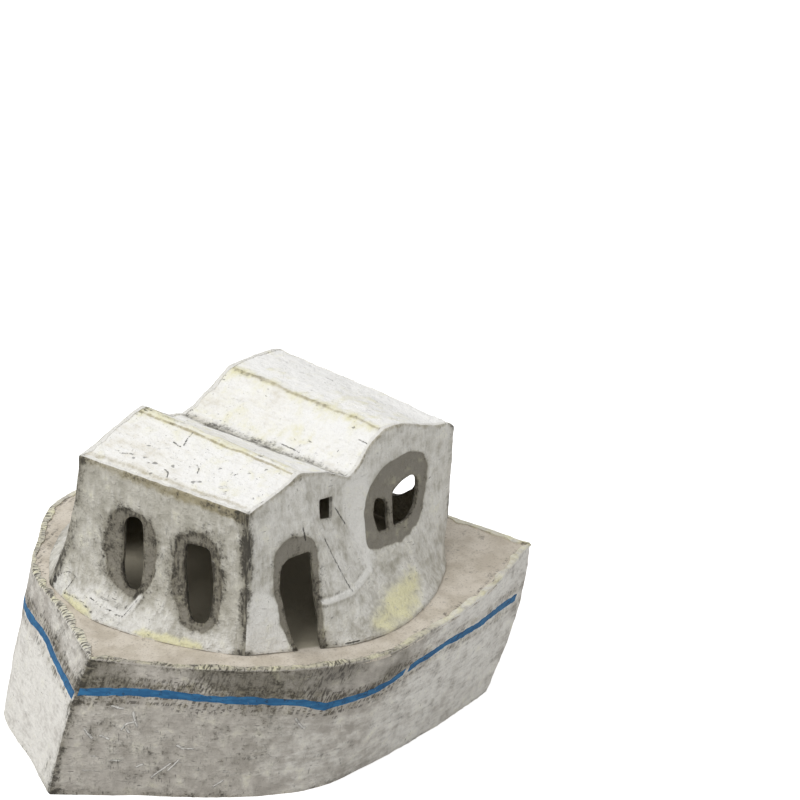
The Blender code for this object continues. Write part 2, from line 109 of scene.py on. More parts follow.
def set_light():
    """An even world that shows as white to the camera, and one wide round lamp turned to the boat."""
    scene = bpy.context.scene
    scene.view_settings.view_transform = "Standard"
    scene.world = bpy.data.worlds.new("white_room")
    new, link = shader_nodes(scene.world)
    out, mix = new("ShaderNodeOutputWorld"), new("ShaderNodeMixShader")
    lit, seen, path = new("ShaderNodeBackground"), new("ShaderNodeBackground"), new("ShaderNodeLightPath")
    lit.inputs["Strength"].default_value = SKY_STRENGTH
    lit.inputs["Color"].default_value = WHITE
    seen.inputs["Color"].default_value = WHITE
    link(path.outputs["Is Camera Ray"], mix.inputs[0])
    link(lit.outputs[0], mix.inputs[1])
    link(seen.outputs[0], mix.inputs[2])
    link(mix.outputs[0], out.inputs["Surface"])
    lamp = bpy.data.lights.new("window_lamp", "AREA")
    lamp.shape = "DISK"
    lamp.size = LAMP_SIZE
    lamp.energy = LAMP_POWER
    holder = bpy.data.objects.new("window_lamp", lamp)
    scene.collection.objects.link(holder)
    back = np.array(LAMP_PLACE) / np.linalg.norm(LAMP_PLACE)
    side = np.cross((0.0, 0.0, 1.0), back)
    side /= np.linalg.norm(side)
    turn = np.eye(4)
    turn[:3] = np.stack((side, np.cross(back, side), back, LAMP_PLACE), axis=1)
    holder.matrix_world = Matrix(turn.tolist())


set_light()
print("sky", SKY_STRENGTH, "lamp", LAMP_POWER, "W and", LAMP_SIZE, "m wide")

# %% [markdown]
# The floor shows white to the camera and still takes the boat's shadow, so the boat seems to stand on paper. It
# is matt and faintly dusty to the light, and its glow is for the camera alone.

# %% Floor
FLOOR_HALF = 4.0
FLOOR_DUST = 3.0
FLOOR_GLOW = 0.7


def lay_floor():
    """A square of pale floor: matt to all rays, with a white glow added for the camera only."""
    mesh = bpy.data.meshes.new("pale_floor")
    corners = np.array(((-1, -1, 0), (1, -1, 0), (1, 1, 0), (-1, 1, 0))) * FLOOR_HALF
    mesh.from_pydata(corners.tolist(), [], [(0, 1, 2, 3)])
    material = bpy.data.materials.new("pale_floor")
    new, link = shader_nodes(material)
    out, matt, glow = new("ShaderNodeOutputMaterial"), new("ShaderNodeBsdfDiffuse"), new("ShaderNodeEmission")
    both, path = new("ShaderNodeAddShader"), new("ShaderNodeLightPath")
    dust, shade = new("ShaderNodeTexNoise"), new("ShaderNodeValToRGB")
    place = new("ShaderNodeTexCoord")
    dust.inputs["Scale"].default_value = FLOOR_DUST
    shade.color_ramp.elements[0].color = (0.78, 0.78, 0.77, 1.0)
    shade.color_ramp.elements[1].color = (0.82, 0.82, 0.82, 1.0)
    link(place.outputs["Object"], dust.inputs["Vector"])
    link(dust.outputs[0], shade.inputs[0])
    link(shade.outputs[0], matt.inputs["Color"])
    link(path.outputs["Is Camera Ray"], glow.inputs["Strength"])
    link(matt.outputs[0], both.inputs[0])
    link(glow.outputs[0], both.inputs[1])
    link(both.outputs[0], out.inputs["Surface"])
    glow.inputs["Color"].default_value = (FLOOR_GLOW, FLOOR_GLOW, FLOOR_GLOW, 1.0)
    mesh.materials.append(material)
    floor = bpy.data.objects.new("pale_floor", mesh)
    bpy.context.scene.collection.objects.link(floor)


lay_floor()
print("floor", 2 * FLOOR_HALF, "m wide")

# %% [markdown]
# A maker draws a boat's lines with a bent batten through a few marks. The same can be done with numbers: a
# smooth curve runs through the marked points, with the slope at each mark taken from its two neighbours. All
# marks in this lesson are noted in millimetres, as with a ruler, and the model is in metres.

# %% A batten through marks
def metres(table):
    """The same table with every number over 1000, however deep the numbers lie."""
    if isinstance(table, dict):
        return {name: metres(part) for name, part in table.items()}
    return tuple(metres(part) for part in table) if isinstance(table, tuple) else table / 1000


def held(values):
    """Values held between 0 and 1."""
    return np.clip(values, 0, 1)


def walked(points):
    """The way walked along a line of points, from 0 at the first: the sum of the steps' lengths."""
    return np.concatenate(([0.0], np.cumsum(np.linalg.norm(np.diff(points, axis=0), axis=1))))


def fair_line(marks, ask):
    """Points on a smooth curve through the marks at fractions of its chord length: cubic pieces with mean slopes."""
    marks = np.asarray(marks, float)
    along = walked(marks)
    steps = np.diff(along)
    slopes = np.gradient(marks, along, axis=0)
    where = np.clip(np.asarray(ask) * along[-1], 0.0, along[-1])
    i = np.clip(np.searchsorted(along, where, side="right") - 1, 0, len(steps) - 1)
    t = ((where - along[i]) / steps[i])[:, None]
    span = steps[i][:, None]
    return ((2 * t**3 - 3 * t**2 + 1) * marks[i] + (t**3 - 2 * t**2 + t) * span * slopes[i]
            + (3 * t**2 - 2 * t**3) * marks[i + 1] + (t**3 - t**2) * span * slopes[i + 1])


print("quarters of a bent batten", fair_line(metres(((0, 0), (100, 30), (200, 0))), (0.25, 0.5, 0.75)).round(4))

# %% [markdown]
# Paper never makes a sharp corner. A grid of points is softened as if a finger ran along its folds: every point
# becomes a mean of its neighbours. A closed line also has an inward side, to which its paper can curl over.

# %% Soft corners
def soften(grid, reach, axis, closed):
    """A grid of points averaged along one axis with bell-shaped weights, reach grid steps wide."""
    size = int(3 * reach) + 1
    weights = np.exp(-0.5 * (np.arange(-size, size + 1) / reach) ** 2)
    weights /= weights.sum()
    pad = [(0, 0)] * grid.ndim
    pad[axis] = (size, size)
    wide = np.pad(grid, pad, mode="wrap" if closed else "edge")
    count = grid.shape[axis]
    total = 0.0
    for i, weight in enumerate(weights):
        total = total + weight * np.take(wide, np.arange(i, i + count), axis=axis)
    return total


def inward_ways(top):
    """Level unit directions into a closed line: at each point the way ahead, turned a quarter round."""
    ahead = np.roll(top[:, :2], -1, axis=0) - np.roll(top[:, :2], 1, axis=0)
    inward = np.stack((-ahead[:, 1], ahead[:, 0]), axis=-1)
    return inward / np.linalg.norm(inward, axis=1)[:, None]


print("a step of 1, softened", soften(np.repeat((0.0, 1.0), 3), 1.0, 0, False).round(2))

# %% [markdown]
# Pasted paper is never flat. It swells and sags over a few centimetres, puckers where it dried, and every torn
# scrap leaves a low step. All three come from one lattice of random heights, read at different sizes.

# %% The lie of pasted paper
SWELL, SWELL_SIZE = 0.00055, 0.032
SAG, SAG_SIZE = 0.00042, 0.012
PUCKER, PUCKER_SIZE = 0.00038, 0.008
SCRAP, SCRAP_SIZE, SCRAP_LEVELS = 0.00032, 0.017, 3.0


def lattice_noise(points, size, seed):
    """Smooth random heights from -1 to 1: random lattice values, blended in each direction by t*t*(3 - 2*t)."""
    cell = np.floor(points / size).astype(np.int64)
    t = points / size - cell
    t = t * t * (3.0 - 2.0 * t)
    total = np.zeros(points.shape[:-1])
    for corner in itertools.product((0, 1), repeat=3):
        c = cell + np.array(corner)
        h = (c[..., 0] * 73856093) ^ (c[..., 1] * 19349663) ^ (c[..., 2] * 83492791) ^ (seed * 26544357)
        h = ((h & 0xFFFFFFFF) ^ ((h & 0xFFFFFFFF) >> 13)) * 1274126177 & 0xFFFFFFFF
        value = ((h ^ (h >> 16)) & 0xFFFF) / 32767.5 - 1.0
        total += value * np.prod(np.where(np.array(corner) == 1, t, 1.0 - t), axis=-1)
    return total


def paper_lie(points):
    """Height of the pasted paper over its card, at or below zero: swell, sag, sharp puckers and scrap steps."""
    swell = lattice_noise(points, SWELL_SIZE, 1)
    sag = lattice_noise(points, SAG_SIZE, 2)
    pucker = 1.0 - np.abs(lattice_noise(points * np.array((1.0, 1.0, 0.7)), PUCKER_SIZE, 3))
    ragged = lattice_noise(points, SCRAP_SIZE, 4) + 0.3 * lattice_noise(points, SCRAP_SIZE / 4, 5)
    steps = np.floor(ragged * SCRAP_LEVELS) / SCRAP_LEVELS
    height = SWELL * swell + SAG * sag + PUCKER * pucker**4 + SCRAP * steps
    return height - (SWELL + SAG) * 0.6


sample = paper_lie(np.stack((np.linspace(0, 0.3, 500), np.zeros(500), np.zeros(500)), axis=-1))
print("paper lies between", sample.min().round(5), "and", sample.max().round(5), "m from the card's face")

# %% [markdown]
# The hull and the cabin are closed rings of columns. Paper lies thinner over their sharp edges, so each point is
# moved along a softened normal, and the rows that curl over an edge share the height of the edge itself.

# %% Papered rings
LIE_REACH = 3.0


def unit(ways):
    """The same directions, each over its own length."""
    return ways / np.maximum(np.linalg.norm(ways, axis=-1, keepdims=True), 1e-12)


def grid_normals(grid):
    """Unit normals of a grid of points: the cross product of its column and row directions."""
    return unit(np.cross(np.gradient(grid, axis=1), np.gradient(grid, axis=0)))


def ring_normals(ring):
    """Unit normals of a closed ring of columns, with two columns borrowed from each end."""
    return grid_normals(np.concatenate((ring[:, -2:], ring, ring[:, :2]), axis=1))[:, 2:-2]


def papered(ring, edge_row):
    """A ring's outer face: its points moved along softened normals by the lie of the paper."""
    lie = paper_lie(ring)
    lie[edge_row:] = lie[edge_row]
    way = soften(soften(ring_normals(ring), LIE_REACH, 0, False), LIE_REACH, 1, True)
    return ring + way * lie[..., None]


print("normals softened over", LIE_REACH, "rows and columns")

# %% [markdown]
# Windows, scraps and scratches are drawn flat, as outlines and trails of straight pieces. All that is asked of
# them later is how far a place lies from them, and on which side of an outline.

# %% Outlines and trails
def rounded(corners, radius, steps=6):
    """An outline whose corners are rounded by curves that start a radius away: (1-t)^2, 2t(1-t) and t^2 weights."""
    corners = np.asarray(corners, float)
    before, after = np.roll(corners, 1, axis=0) - corners, np.roll(corners, -1, axis=0) - corners
    reach_in = np.minimum(radius, 0.5 * np.linalg.norm(before, axis=1)) / np.linalg.norm(before, axis=1)
    reach_out = np.minimum(radius, 0.5 * np.linalg.norm(after, axis=1)) / np.linalg.norm(after, axis=1)
    start, stop = corners + before * reach_in[:, None], corners + after * reach_out[:, None]
    t = np.linspace(0, 1, steps)[None, :, None]
    curve = (1 - t) ** 2 * start[:, None] + 2 * t * (1 - t) * corners[:, None] + t**2 * stop[:, None]
    return curve.reshape(-1, 2)


def trail_distance(places, trail, closed=False):
    """Distance of flat places from a trail of straight pieces, and the nearest point on it."""
    trail = np.asarray(trail, float)
    ends = np.roll(trail, -1, axis=0) if closed else trail[1:]
    starts = trail if closed else trail[:-1]
    shape = places.shape[:-1]
    flat = places.reshape(-1, 1, 2)
    way = ends - starts
    share = ((flat - starts) * way).sum(-1) / np.maximum((way**2).sum(-1), 1e-18)
    spot = starts + held(share)[..., None] * way
    gap = np.linalg.norm(flat - spot, axis=-1)
    best = gap.argmin(axis=1)
    rows = np.arange(len(gap))
    return gap[rows, best].reshape(shape), spot[rows, best].reshape(shape + (2,))


def outline_distance(places, outline):
    """Signed distance from a closed outline, negative inside it, and the nearest point on it."""
    gap, spot = trail_distance(places, outline, closed=True)
    x, y = places[..., 0:1], places[..., 1:2]
    a, b = outline, np.roll(outline, -1, axis=0)
    crosses = (a[:, 1] > y) != (b[:, 1] > y)
    rise = np.where(b[:, 1] == a[:, 1], 1e-12, b[:, 1] - a[:, 1])
    left = x < (b[:, 0] - a[:, 0]) * (y - a[:, 1]) / rise + a[:, 0]
    inside = (crosses & left).sum(axis=-1) % 2 == 1
    return np.where(inside, -gap, gap), spot


print("a rounded square has", len(rounded(((0, 0), (1, 0), (1, 1), (0, 1)), 0.2)), "points")

# %% [markdown]
# A paper sheet is a grid of points with an outer and an inner face. Where a window goes through, its cells are
# left out. All borders are closed with a rim, because cut card shows its thickness. A finished sheet rides on
# the boat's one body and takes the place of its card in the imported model.

# %% Sheets
def sheet_faces(rows, columns, keep):
    """Faces of a closed sheet: kept cells, the same cells turned over on the inner grid, and rims at the borders.

    A border is an edge that only one kept cell has. The inner grid's points are numbered after the outer grid's.
    """
    number = np.arange(rows * columns).reshape(rows, columns)
    quads = np.stack((number[:-1, :-1], number[:-1, 1:], number[1:, 1:], number[1:, :-1]), axis=-1)
    quads = quads.reshape(-1, 4) if keep is None else quads[keep]
    starts, stops = quads.reshape(-1), np.roll(quads, -1, axis=1).reshape(-1)
    shift = rows * columns
    key = np.minimum(starts, stops) * shift + np.maximum(starts, stops)
    _, place, count = np.unique(key, return_inverse=True, return_counts=True)
    border = count[place] == 1
    starts, stops = starts[border], stops[border]
    rim = np.stack((stops, starts, starts + shift, stops + shift), axis=-1)
    return np.concatenate((quads, quads[:, ::-1] + shift, rim)), rim


def sheet_piece(name, node, outer, inner, normals, marks, material, keep=None):
    """A closed sheet between two grids of points, with its marks stored per point, put on the boat for its card."""
    rows, columns = outer.shape[:2]
    faces, rim = sheet_faces(rows, columns, keep)
    used, renumbered = np.unique(faces, return_inverse=True)
    faces = renumbered.reshape(faces.shape)
    points = np.concatenate((outer.reshape(-1, 3), inner.reshape(-1, 3)))[used]
    points = np.clip(points, card_box[0], card_box[1])

    def per_point(values):
        """A grid of values for both faces, at the points in use."""
        return np.tile(np.broadcast_to(values, (rows, columns)).reshape(-1), 2)[used]

    mesh = bpy.data.meshes.new(name)
    mesh.vertices.add(len(points))
    mesh.vertices.foreach_set("co", points.ravel())
    mesh.loops.add(faces.size)
    mesh.loops.foreach_set("vertex_index", faces.ravel())
    mesh.polygons.add(len(faces))
    mesh.polygons.foreach_set("loop_start", np.arange(0, faces.size, 4))
    mesh.update(calc_edges=True)
    mesh.polygons.foreach_set("use_smooth", np.ones(len(faces), bool))
    # Inner faces and the floor under the cabin take the dull inside colour: partly bare card, partly painted shade of
    # the unlit cabin.
    inner_side = (used >= rows * columns) & ~np.isin(used, rim)
    stored = {mark: per_point(values) for mark, values in marks.items()}
    stored["inside"] = np.maximum(stored.get("indoors", 0.0), inner_side)
    for mark, values in stored.items():
        mesh.attributes.new(mark, "FLOAT", "POINT").data.foreach_set("value", values.astype(float))
    corner_normals = np.concatenate((normals.reshape(-1, 3), -normals.reshape(-1, 3)))[used][faces]
    edge = points[faces[-len(rim):]]
    square = unit(np.cross(edge[:, 2] - edge[:, 0], edge[:, 3] - edge[:, 1]))
    corner_normals[-len(rim):] = square[:, None]
    mesh.normals_split_custom_set(corner_normals.reshape(-1, 3).tolist())
    mesh.materials.append(material)
    piece = bpy.data.objects.new(name, mesh)
    bpy.context.scene.collection.objects.link(piece)
    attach(piece, "root")
    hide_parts(node)
    print(name, len(points), "points", 2 * len(faces), "triangles")


print("a sheet of one cell has", len(sheet_faces(2, 2, None)[0]), "faces")

# %% [markdown]
# The finish is built up in layers, as on the real boat: grey paper with rows of small print, brushed paint over
# it, bare bands where the paint was left off, yellow scraps, grime in the corners, scratches and cracks. Painted
# shade and light go in with them: shadow lines for cracks and beside raised folds, highlights on the folds, shade
# at the stem, round the windows and inside the cabin, and lighter and darker bow panels. Each sheet carries the
# amount of every layer as a number per point, and nodes break those amounts up with noise in object space. The
# print is only rows of random dashes, so nothing can be read.

# %% Paint box
HATCH_STROKE = 0.0013
PRINT_PITCH = 0.0037
PRINT_DASH = 0.001
WORD_LENGTH = 0.006


def tint(red, green, blue):
    """A colour given as it looks on a screen, from 0 to 255: each part over 255, to the power 2.2."""
    return tuple((np.array((red, green, blue)) / 255.0) ** 2.2) + (1.0,)


class PaintBox:
    """The nodes of one material, with short calls for the few kinds that paper and paint need."""

    def __init__(self, name):
        self.material = bpy.data.materials.new(name)
        self.new, self.link = shader_nodes(self.material)
        self.place = self.new("ShaderNodeTexCoord").outputs["Object"]

    def use(self, kind, *inputs, **settings):
        """A node of a kind: settings are its switches, and inputs go in by order, as numbers or as links."""
        node = self.new(kind)
        for name, value in settings.items():
            setattr(node, name, value)
        for socket, value in zip(node.inputs, inputs):
            if isinstance(value, bpy.types.NodeSocket):
                self.link(value, socket)
            elif value is not None:
                socket.default_value = value
        return node.outputs[0]

    def amount(self, name):
        """The number that a sheet carries under a name."""
        node = self.new("ShaderNodeAttribute")
        node.attribute_name = name
        return node.outputs["Fac"]

    def math(self, kind, *values):
        """One sum, such as ADD or DIVIDE."""
        return self.use("ShaderNodeMath", *values, operation=kind)

    def times(self, one, other):
        """One value times the other."""
        return self.math("MULTIPLY", one, other)

    def plus(self, value, factor, base):
        """A value times a factor, added to a base."""
        return self.math("MULTIPLY_ADD", value, factor, base)

    def ramp(self, value, low, high):
        """0 below low and 1 above high, with a smooth rise between; turned over where low is the greater."""
        return self.use("ShaderNodeMapRange", value, low, high, interpolation_type="SMOOTHSTEP")

    def grain(self, size, stretch=(1.0, 1.0, 1.0), turn=(0.0, 0.0, 0.0), detail=2.0, rough=0.55):
        """Noise with clumps about size across, turned and drawn out by stretch along the three axes."""
        scale = tuple(1.0 / (size * part) for part in stretch)
        place = self.use("ShaderNodeMapping", self.place, (0.0, 0.0, 0.0), turn, scale)
        return self.use("ShaderNodeTexNoise", place, None, 1.0, detail, rough)

    def broken(self, amount, grain, reach, edge):
        """An amount with ragged borders: it shows where amount plus reach times (grain - 0.5) passes a half."""
        middle = 0.5 + 0.5 * reach
        return self.ramp(self.plus(grain, reach, amount), middle - edge, middle + edge)

    def coat(self, under, over, amount, strength=1.0):
        """One colour laid over another by an amount from 0 to 1, times a strength."""
        mix = self.new("ShaderNodeMix")
        mix.data_type = "RGBA"
        amount = amount if strength == 1.0 else self.times(amount, strength)
        for place, value in ((0, amount), (6, under), (7, over)):
            if isinstance(value, bpy.types.NodeSocket):
                self.link(value, mix.inputs[place])
            else:
                mix.inputs[place].default_value = value
        return mix.outputs[2]

    def print_rows(self, along, across):
        """Rows of dashes: the share of across over the pitch keeps a row's body, and noise cuts it along."""
        row = self.math("DIVIDE", across, PRINT_PITCH)
        number, within = self.math("FLOOR", row), self.math("FRACT", row)
        body = self.times(self.ramp(within, 0.1, 0.24), self.ramp(within, 0.8, 0.64))
        dash = self.ramp(self.marks(self.math("DIVIDE", along, PRINT_DASH), self.times(number, 5.3), row), 0.46, 0.56)
        word = self.ramp(self.marks(self.math("DIVIDE", along, WORD_LENGTH), self.times(number, 3.1)), 0.36, 0.46)
        return self.times(body, self.times(dash, word))

    def marks(self, *place):
        """Noise read at a place that is put together from two or three numbers."""
        return self.use("ShaderNodeTexNoise", self.use("ShaderNodeCombineXYZ", *place), None, 1.0, 1.0, 0.5)

    def finish(self, colour, height, depth, roughness):
        """The shader: colour, one roughness set on its own socket, and a bump of a depth from a height."""
        shader, out = self.new("ShaderNodeBsdfPrincipled"), self.new("ShaderNodeOutputMaterial")
        bump = self.new("ShaderNodeBump")
        bump.inputs["Distance"].default_value = depth
        self.link(height, bump.inputs["Height"])
        self.link(bump.outputs[0], shader.inputs["Normal"])
        self.link(colour, shader.inputs["Base Color"])
        shader.inputs["Roughness"].default_value = roughness
        self.link(shader.outputs[0], out.inputs["Surface"])
        return self.material


print("print rows", PRINT_PITCH, "m apart, dashes", PRINT_DASH, "m, words", WORD_LENGTH, "m")

# %% [markdown]
# Under the paint lie torn scraps of newsprint, pasted this way and that. A pattern of cells stands for them: each
# cell is a little lighter or darker, and the print on some runs upright.

# %% Scraps and colours
INK = tint(62, 58, 54)
# The soot and wash colours lay grime, and also painted shade and painted shadow lines.
SOOT_AND_SHADOW = tint(44, 40, 34)
SHADE_AND_DIRT_WASH = tint(128, 122, 104)
BARE = tint(124, 119, 109)
YELLOW = tint(236, 231, 190)
TAN = tint(160, 147, 108)
# The dull inside colour: partly bare card, partly painted shade of the unlit cabin.
INDOOR_CARD_AND_SHADE = tint(168, 161, 143)
SCRAP_ACROSS = 0.02
SCRAP_WOBBLE = 120.0
ROUGHNESS = 0.8


def paper_scraps(box):
    """The scraps of pasted paper as cells: a random shade for each, and a second number to turn its print."""
    wobble = box.use("ShaderNodeTexNoise", box.place, None, SCRAP_WOBBLE, 2.0, 0.5)
    wobble = box.use("ShaderNodeVectorMath", wobble, (0.006, 0.006, 0.006), operation="MULTIPLY")
    scraps = box.new("ShaderNodeTexVoronoi")
    scraps.inputs["Scale"].default_value = 1.0 / SCRAP_ACROSS
    box.link(box.use("ShaderNodeVectorMath", box.place, wobble, operation="ADD"), scraps.inputs["Vector"])
    parts = box.new("ShaderNodeSeparateColor")
    box.link(scraps.outputs["Color"], parts.inputs[0])
    return parts.outputs[0], parts.outputs[1]


print("scraps", SCRAP_ACROSS, "m across")

# %% [markdown]
# Brushed paint over pasted print covers the walls, the roofs and the hull. They share one recipe and differ in
# the colours of paper and paint, and in the way the brush went.

# %% Worn paint
def worn_paint(name, paper, shade, paint, brush, brush_turn, depth):
    """Paper in two shades, print, paint, bare bands, yellow, tan, grime with painted shade, scratches, cracks as
    painted shadow lines and the painted shade inside, one on another.
    """
    box = PaintBox(name)
    clump, speck = box.grain(0.01, detail=4.0, rough=0.6), box.grain(0.0015, detail=2.0)
    stroke = box.grain(0.0022, stretch=brush, turn=brush_turn, detail=3.0)
    patchy = box.grain(0.0065, detail=6.0, rough=0.72)
    along, across = box.amount("along"), box.amount("across")

    scrap, turned = paper_scraps(box)
    colour = box.coat(shade, paper, box.ramp(clump, 0.3, 0.66))
    colour = box.coat(colour, shade, scrap, 0.25)
    level = box.times(box.print_rows(along, across), box.ramp(turned, 0.61, 0.6))
    upright = box.times(box.print_rows(across, along), box.ramp(turned, 0.6, 0.61))
    shown = box.broken(box.amount("print"), patchy, 1.2, 0.16)
    colour = box.coat(colour, INK, box.times(box.math("ADD", level, upright), shown), 0.7)

    brushed = box.plus(clump, 1.3, box.amount("paint"))
    brushed = box.plus(patchy, 0.7, box.plus(stroke, 0.9, brushed))
    colour = box.coat(colour, paint, box.ramp(brushed, 1.45, 2.45))
    colour = box.coat(colour, BARE, box.broken(box.amount("bare"), patchy, 0.7, 0.3), 0.85)
    yellow = box.broken(box.amount("yellow"), clump, 1.6, 0.45)
    colour = box.coat(colour, YELLOW, box.times(yellow, box.ramp(stroke, 0.16, 0.46)))
    colour = box.coat(colour, TAN, box.broken(box.amount("tan"), patchy, 1.5, 0.35), 0.75)

    hatch = box.marks(box.math("DIVIDE", along, HATCH_STROKE), box.math("DIVIDE", across, 4.0 * HATCH_STROKE))
    shown = box.broken(box.amount("hatch"), patchy, 1.3, 0.25)
    colour = box.coat(colour, INK, box.times(box.ramp(hatch, 0.48, 0.6), shown), 0.8)
    # The wash and the soot are real grime together with painted shade at the stem, round the windows and beside the
    # folds.
    dirt_and_shade = box.amount("grime_and_shade")
    colour = box.coat(colour, SHADE_AND_DIRT_WASH, box.broken(dirt_and_shade, patchy, 1.3, 0.42), 0.72)
    flecks = box.math("SUBTRACT", box.times(speck, 0.9), 0.55)
    soot_and_shade = box.broken(box.math("ADD", flecks, dirt_and_shade), patchy, 1.9, 0.26)
    colour = box.coat(colour, SOOT_AND_SHADOW, box.times(soot_and_shade, box.ramp(stroke, 0.3, 0.55)), 0.85)

    where = box.broken(box.amount("nicks"), clump, 2.4, 0.2)
    pale = box.grain(0.0024, stretch=(7.0, 7.0, 1.0), turn=(0.2, 0.9, 0.5), detail=2.0)
    pale = box.times(box.ramp(pale, 0.69, 0.77), where)
    scratch = box.ramp(box.plus(speck, 0.9, box.amount("scratch")), 0.8, 1.25)
    pale = box.math("MAXIMUM", pale, scratch)
    colour = box.coat(colour, paint, pale, 0.9)
    nicks = box.math("MAXIMUM", box.grain(0.0012, stretch=(5.0, 5.0, 1.0), turn=(0.5, 0.6, 0.3), detail=1.0),
                     box.grain(0.0012, stretch=(1.0, 1.0, 6.0), turn=(0.3, -0.4, 0.0), detail=1.0))
    colour = box.coat(colour, SOOT_AND_SHADOW, box.times(box.ramp(nicks, 0.69, 0.77), where), 0.6)
    # Cracks, torn edges and scored strokes are painted shadow lines, with a groove in the bump.
    crack_shadow = box.ramp(box.plus(speck, 1.3, box.amount("crack_shadow")), 1.15, 1.6)
    colour = box.coat(colour, SOOT_AND_SHADOW, crack_shadow, 0.75)
    # Inner faces in the dull inside colour, partly bare card and partly painted shade.
    colour = box.coat(colour, INDOOR_CARD_AND_SHADE, box.amount("inside"))

    height = box.plus(stroke, 0.45, box.times(clump, 1.6))
    for part, share in ((speck, 0.2), (patchy, 0.6), (pale, 0.6), (crack_shadow, -0.7)):
        height = box.plus(part, share, height)
    return box.finish(colour, height, depth, ROUGHNESS)


cabin_paint = worn_paint("cabin_paint", tint(206, 202, 190), tint(180, 176, 163), tint(240, 238, 232),
                         (1.0, 1.0, 5.0), (0.35, 0.25, 0.0), 0.0026)
roof_paint = worn_paint("roof_paint", tint(240, 236, 222), tint(224, 218, 202), tint(253, 252, 249),
                        (1.0, 5.0, 1.0), (0.0, 0.0, 0.9), 0.0019)
hull_paint = worn_paint("hull_paint", tint(202, 196, 186), tint(172, 166, 157), tint(240, 237, 230),
                        (4.0, 4.0, 1.0), (0.4, 0.3, 0.0), 0.0025)
print("worn paint", [paint.name for paint in (cabin_paint, roof_paint, hull_paint)])

# %% [markdown]
# The deck is bare taupe paper, only rubbed and lightly printed. The stripe is blue paint, thin at its edges.

# %% Deck paper and blue stripe
def rubbed_paper(name):
    """Taupe paper in two shades with a rubbed sheen of specks, faint print, grime at the edges, and the cabin floor
    in the dull inside colour as painted shade.
    """
    box = PaintBox(name)
    clump, speck = box.grain(0.016, detail=4.0), box.grain(0.0013, detail=2.0)
    patchy = box.grain(0.006, detail=5.0, rough=0.68)
    colour = box.coat(tint(197, 187, 171), tint(219, 210, 196), box.ramp(clump, 0.34, 0.64))
    colour = box.coat(colour, tint(164, 154, 141), box.ramp(speck, 0.54, 0.68), 0.5)
    rows = box.print_rows(box.amount("along"), box.amount("across"))
    shown = box.broken(box.amount("print"), patchy, 1.2, 0.16)
    colour = box.coat(colour, INK, box.times(rows, shown), 0.6)
    colour = box.coat(colour, SOOT_AND_SHADOW, box.broken(box.amount("grime_and_shade"), patchy, 2.7, 0.3), 0.7)
    # The floor under the cabin in the dull inside colour, as painted shade.
    colour = box.coat(colour, INDOOR_CARD_AND_SHADE, box.amount("inside"))
    return box.finish(colour, box.plus(speck, 0.5, clump), 0.0004, ROUGHNESS)


def stripe_blue(name):
    """Blue paint, streaked lighter and darker, with small worn spots of the paper below."""
    box = PaintBox(name)
    streak, patchy = box.grain(0.002, stretch=(4.0, 4.0, 1.0)), box.grain(0.003, detail=4.0, rough=0.7)
    colour = box.coat(tint(30, 90, 134), tint(46, 110, 156), box.ramp(streak, 0.36, 0.66))
    colour = box.coat(colour, tint(30, 56, 78), box.ramp(patchy, 0.54, 0.7))
    colour = box.coat(colour, tint(120, 128, 132), box.ramp(patchy, 0.36, 0.24))
    return box.finish(colour, streak, 0.0003, 0.7)


deck_paper = rubbed_paper("deck_paper")
stripe_paint = stripe_blue("stripe_paint")
print("deck and stripe", deck_paper.name, stripe_paint.name)

# %% [markdown]
# The hull's two sides bend round from the stem to the stern and a flat board closes them there. A card bends one
# way only, so each side is nearly ruled: lines that swell by a few millimetres at most join a batten at the deck
# to another at the foot. A station gives x and y at the deck, x and y at the foot, and the swell half way up.

# %% Hull lines
HULL_HEIGHT = 0.09
PORT_STATIONS = np.array(metres(((-138.6, -14.3, -168, -7.5, -5, 0), (-103, -69, -132, -47, -1.5, -1),
    (-71, -106, -83, -100, 0, 0), (-45, -126.5, -44, -124, 0, 0), (-9, -144, -10, -128.5, 0, 0),
    (35, -145.2, 23, -129, 0, 0), (100, -138, 70, -127.5, 2, -0.8), (168, -116.5, 121.5, -123.2, 7, -1.2))))
STARBOARD_STATIONS = np.array(metres(((-138.6, -14.3, -168, -7.5, -5, 0), (-109, 40, -145, 34, -1.5, 1),
    (-79, 96, -119, 82, 0, 0), (-51, 118, -83, 108, 0, 0), (-11, 144, -37, 127, 0, 0), (33, 146.8, 13, 130, 0, 0),
    (85, 136, 59, 124, 1.5, 1), (139, 112, 95, 107.5, 7, 1.5))))
HULL_COLUMNS = 400
TRANSOM_COLUMNS = 230
HULL_ROWS = 92
CURL_ROWS = 5
HULL_CURL = 0.0048
CURL_RAGGED = 0.45
CORNER_COLUMNS = 9.0
# How far the ring is softened, in grid steps, and along which axis: over the corners and over the deck's edge.
CORNER_REACH, EDGE_REACH = (1.3, 1), (1.1, 0)
CARD = 0.0025


def side_point(stations, share, height):
    """Points on a hull side: each section is a parabola through the foot, the swelled middle and the deck."""
    deck, foot = fair_line(stations[:, :2], share), fair_line(stations[:, 2:4], share)
    middle = fair_line((stations[:, :2] + stations[:, 2:4]) / 2 + stations[:, 4:], share)
    rise = (np.asarray(height) / HULL_HEIGHT)[..., None]
    flat = foot * (1 - rise) * (1 - 2 * rise) + middle * 4 * rise * (1 - rise) + deck * rise * (2 * rise - 1)
    return np.concatenate((flat, np.broadcast_to(np.asarray(height)[..., None], flat.shape[:-1] + (1,))), axis=-1)


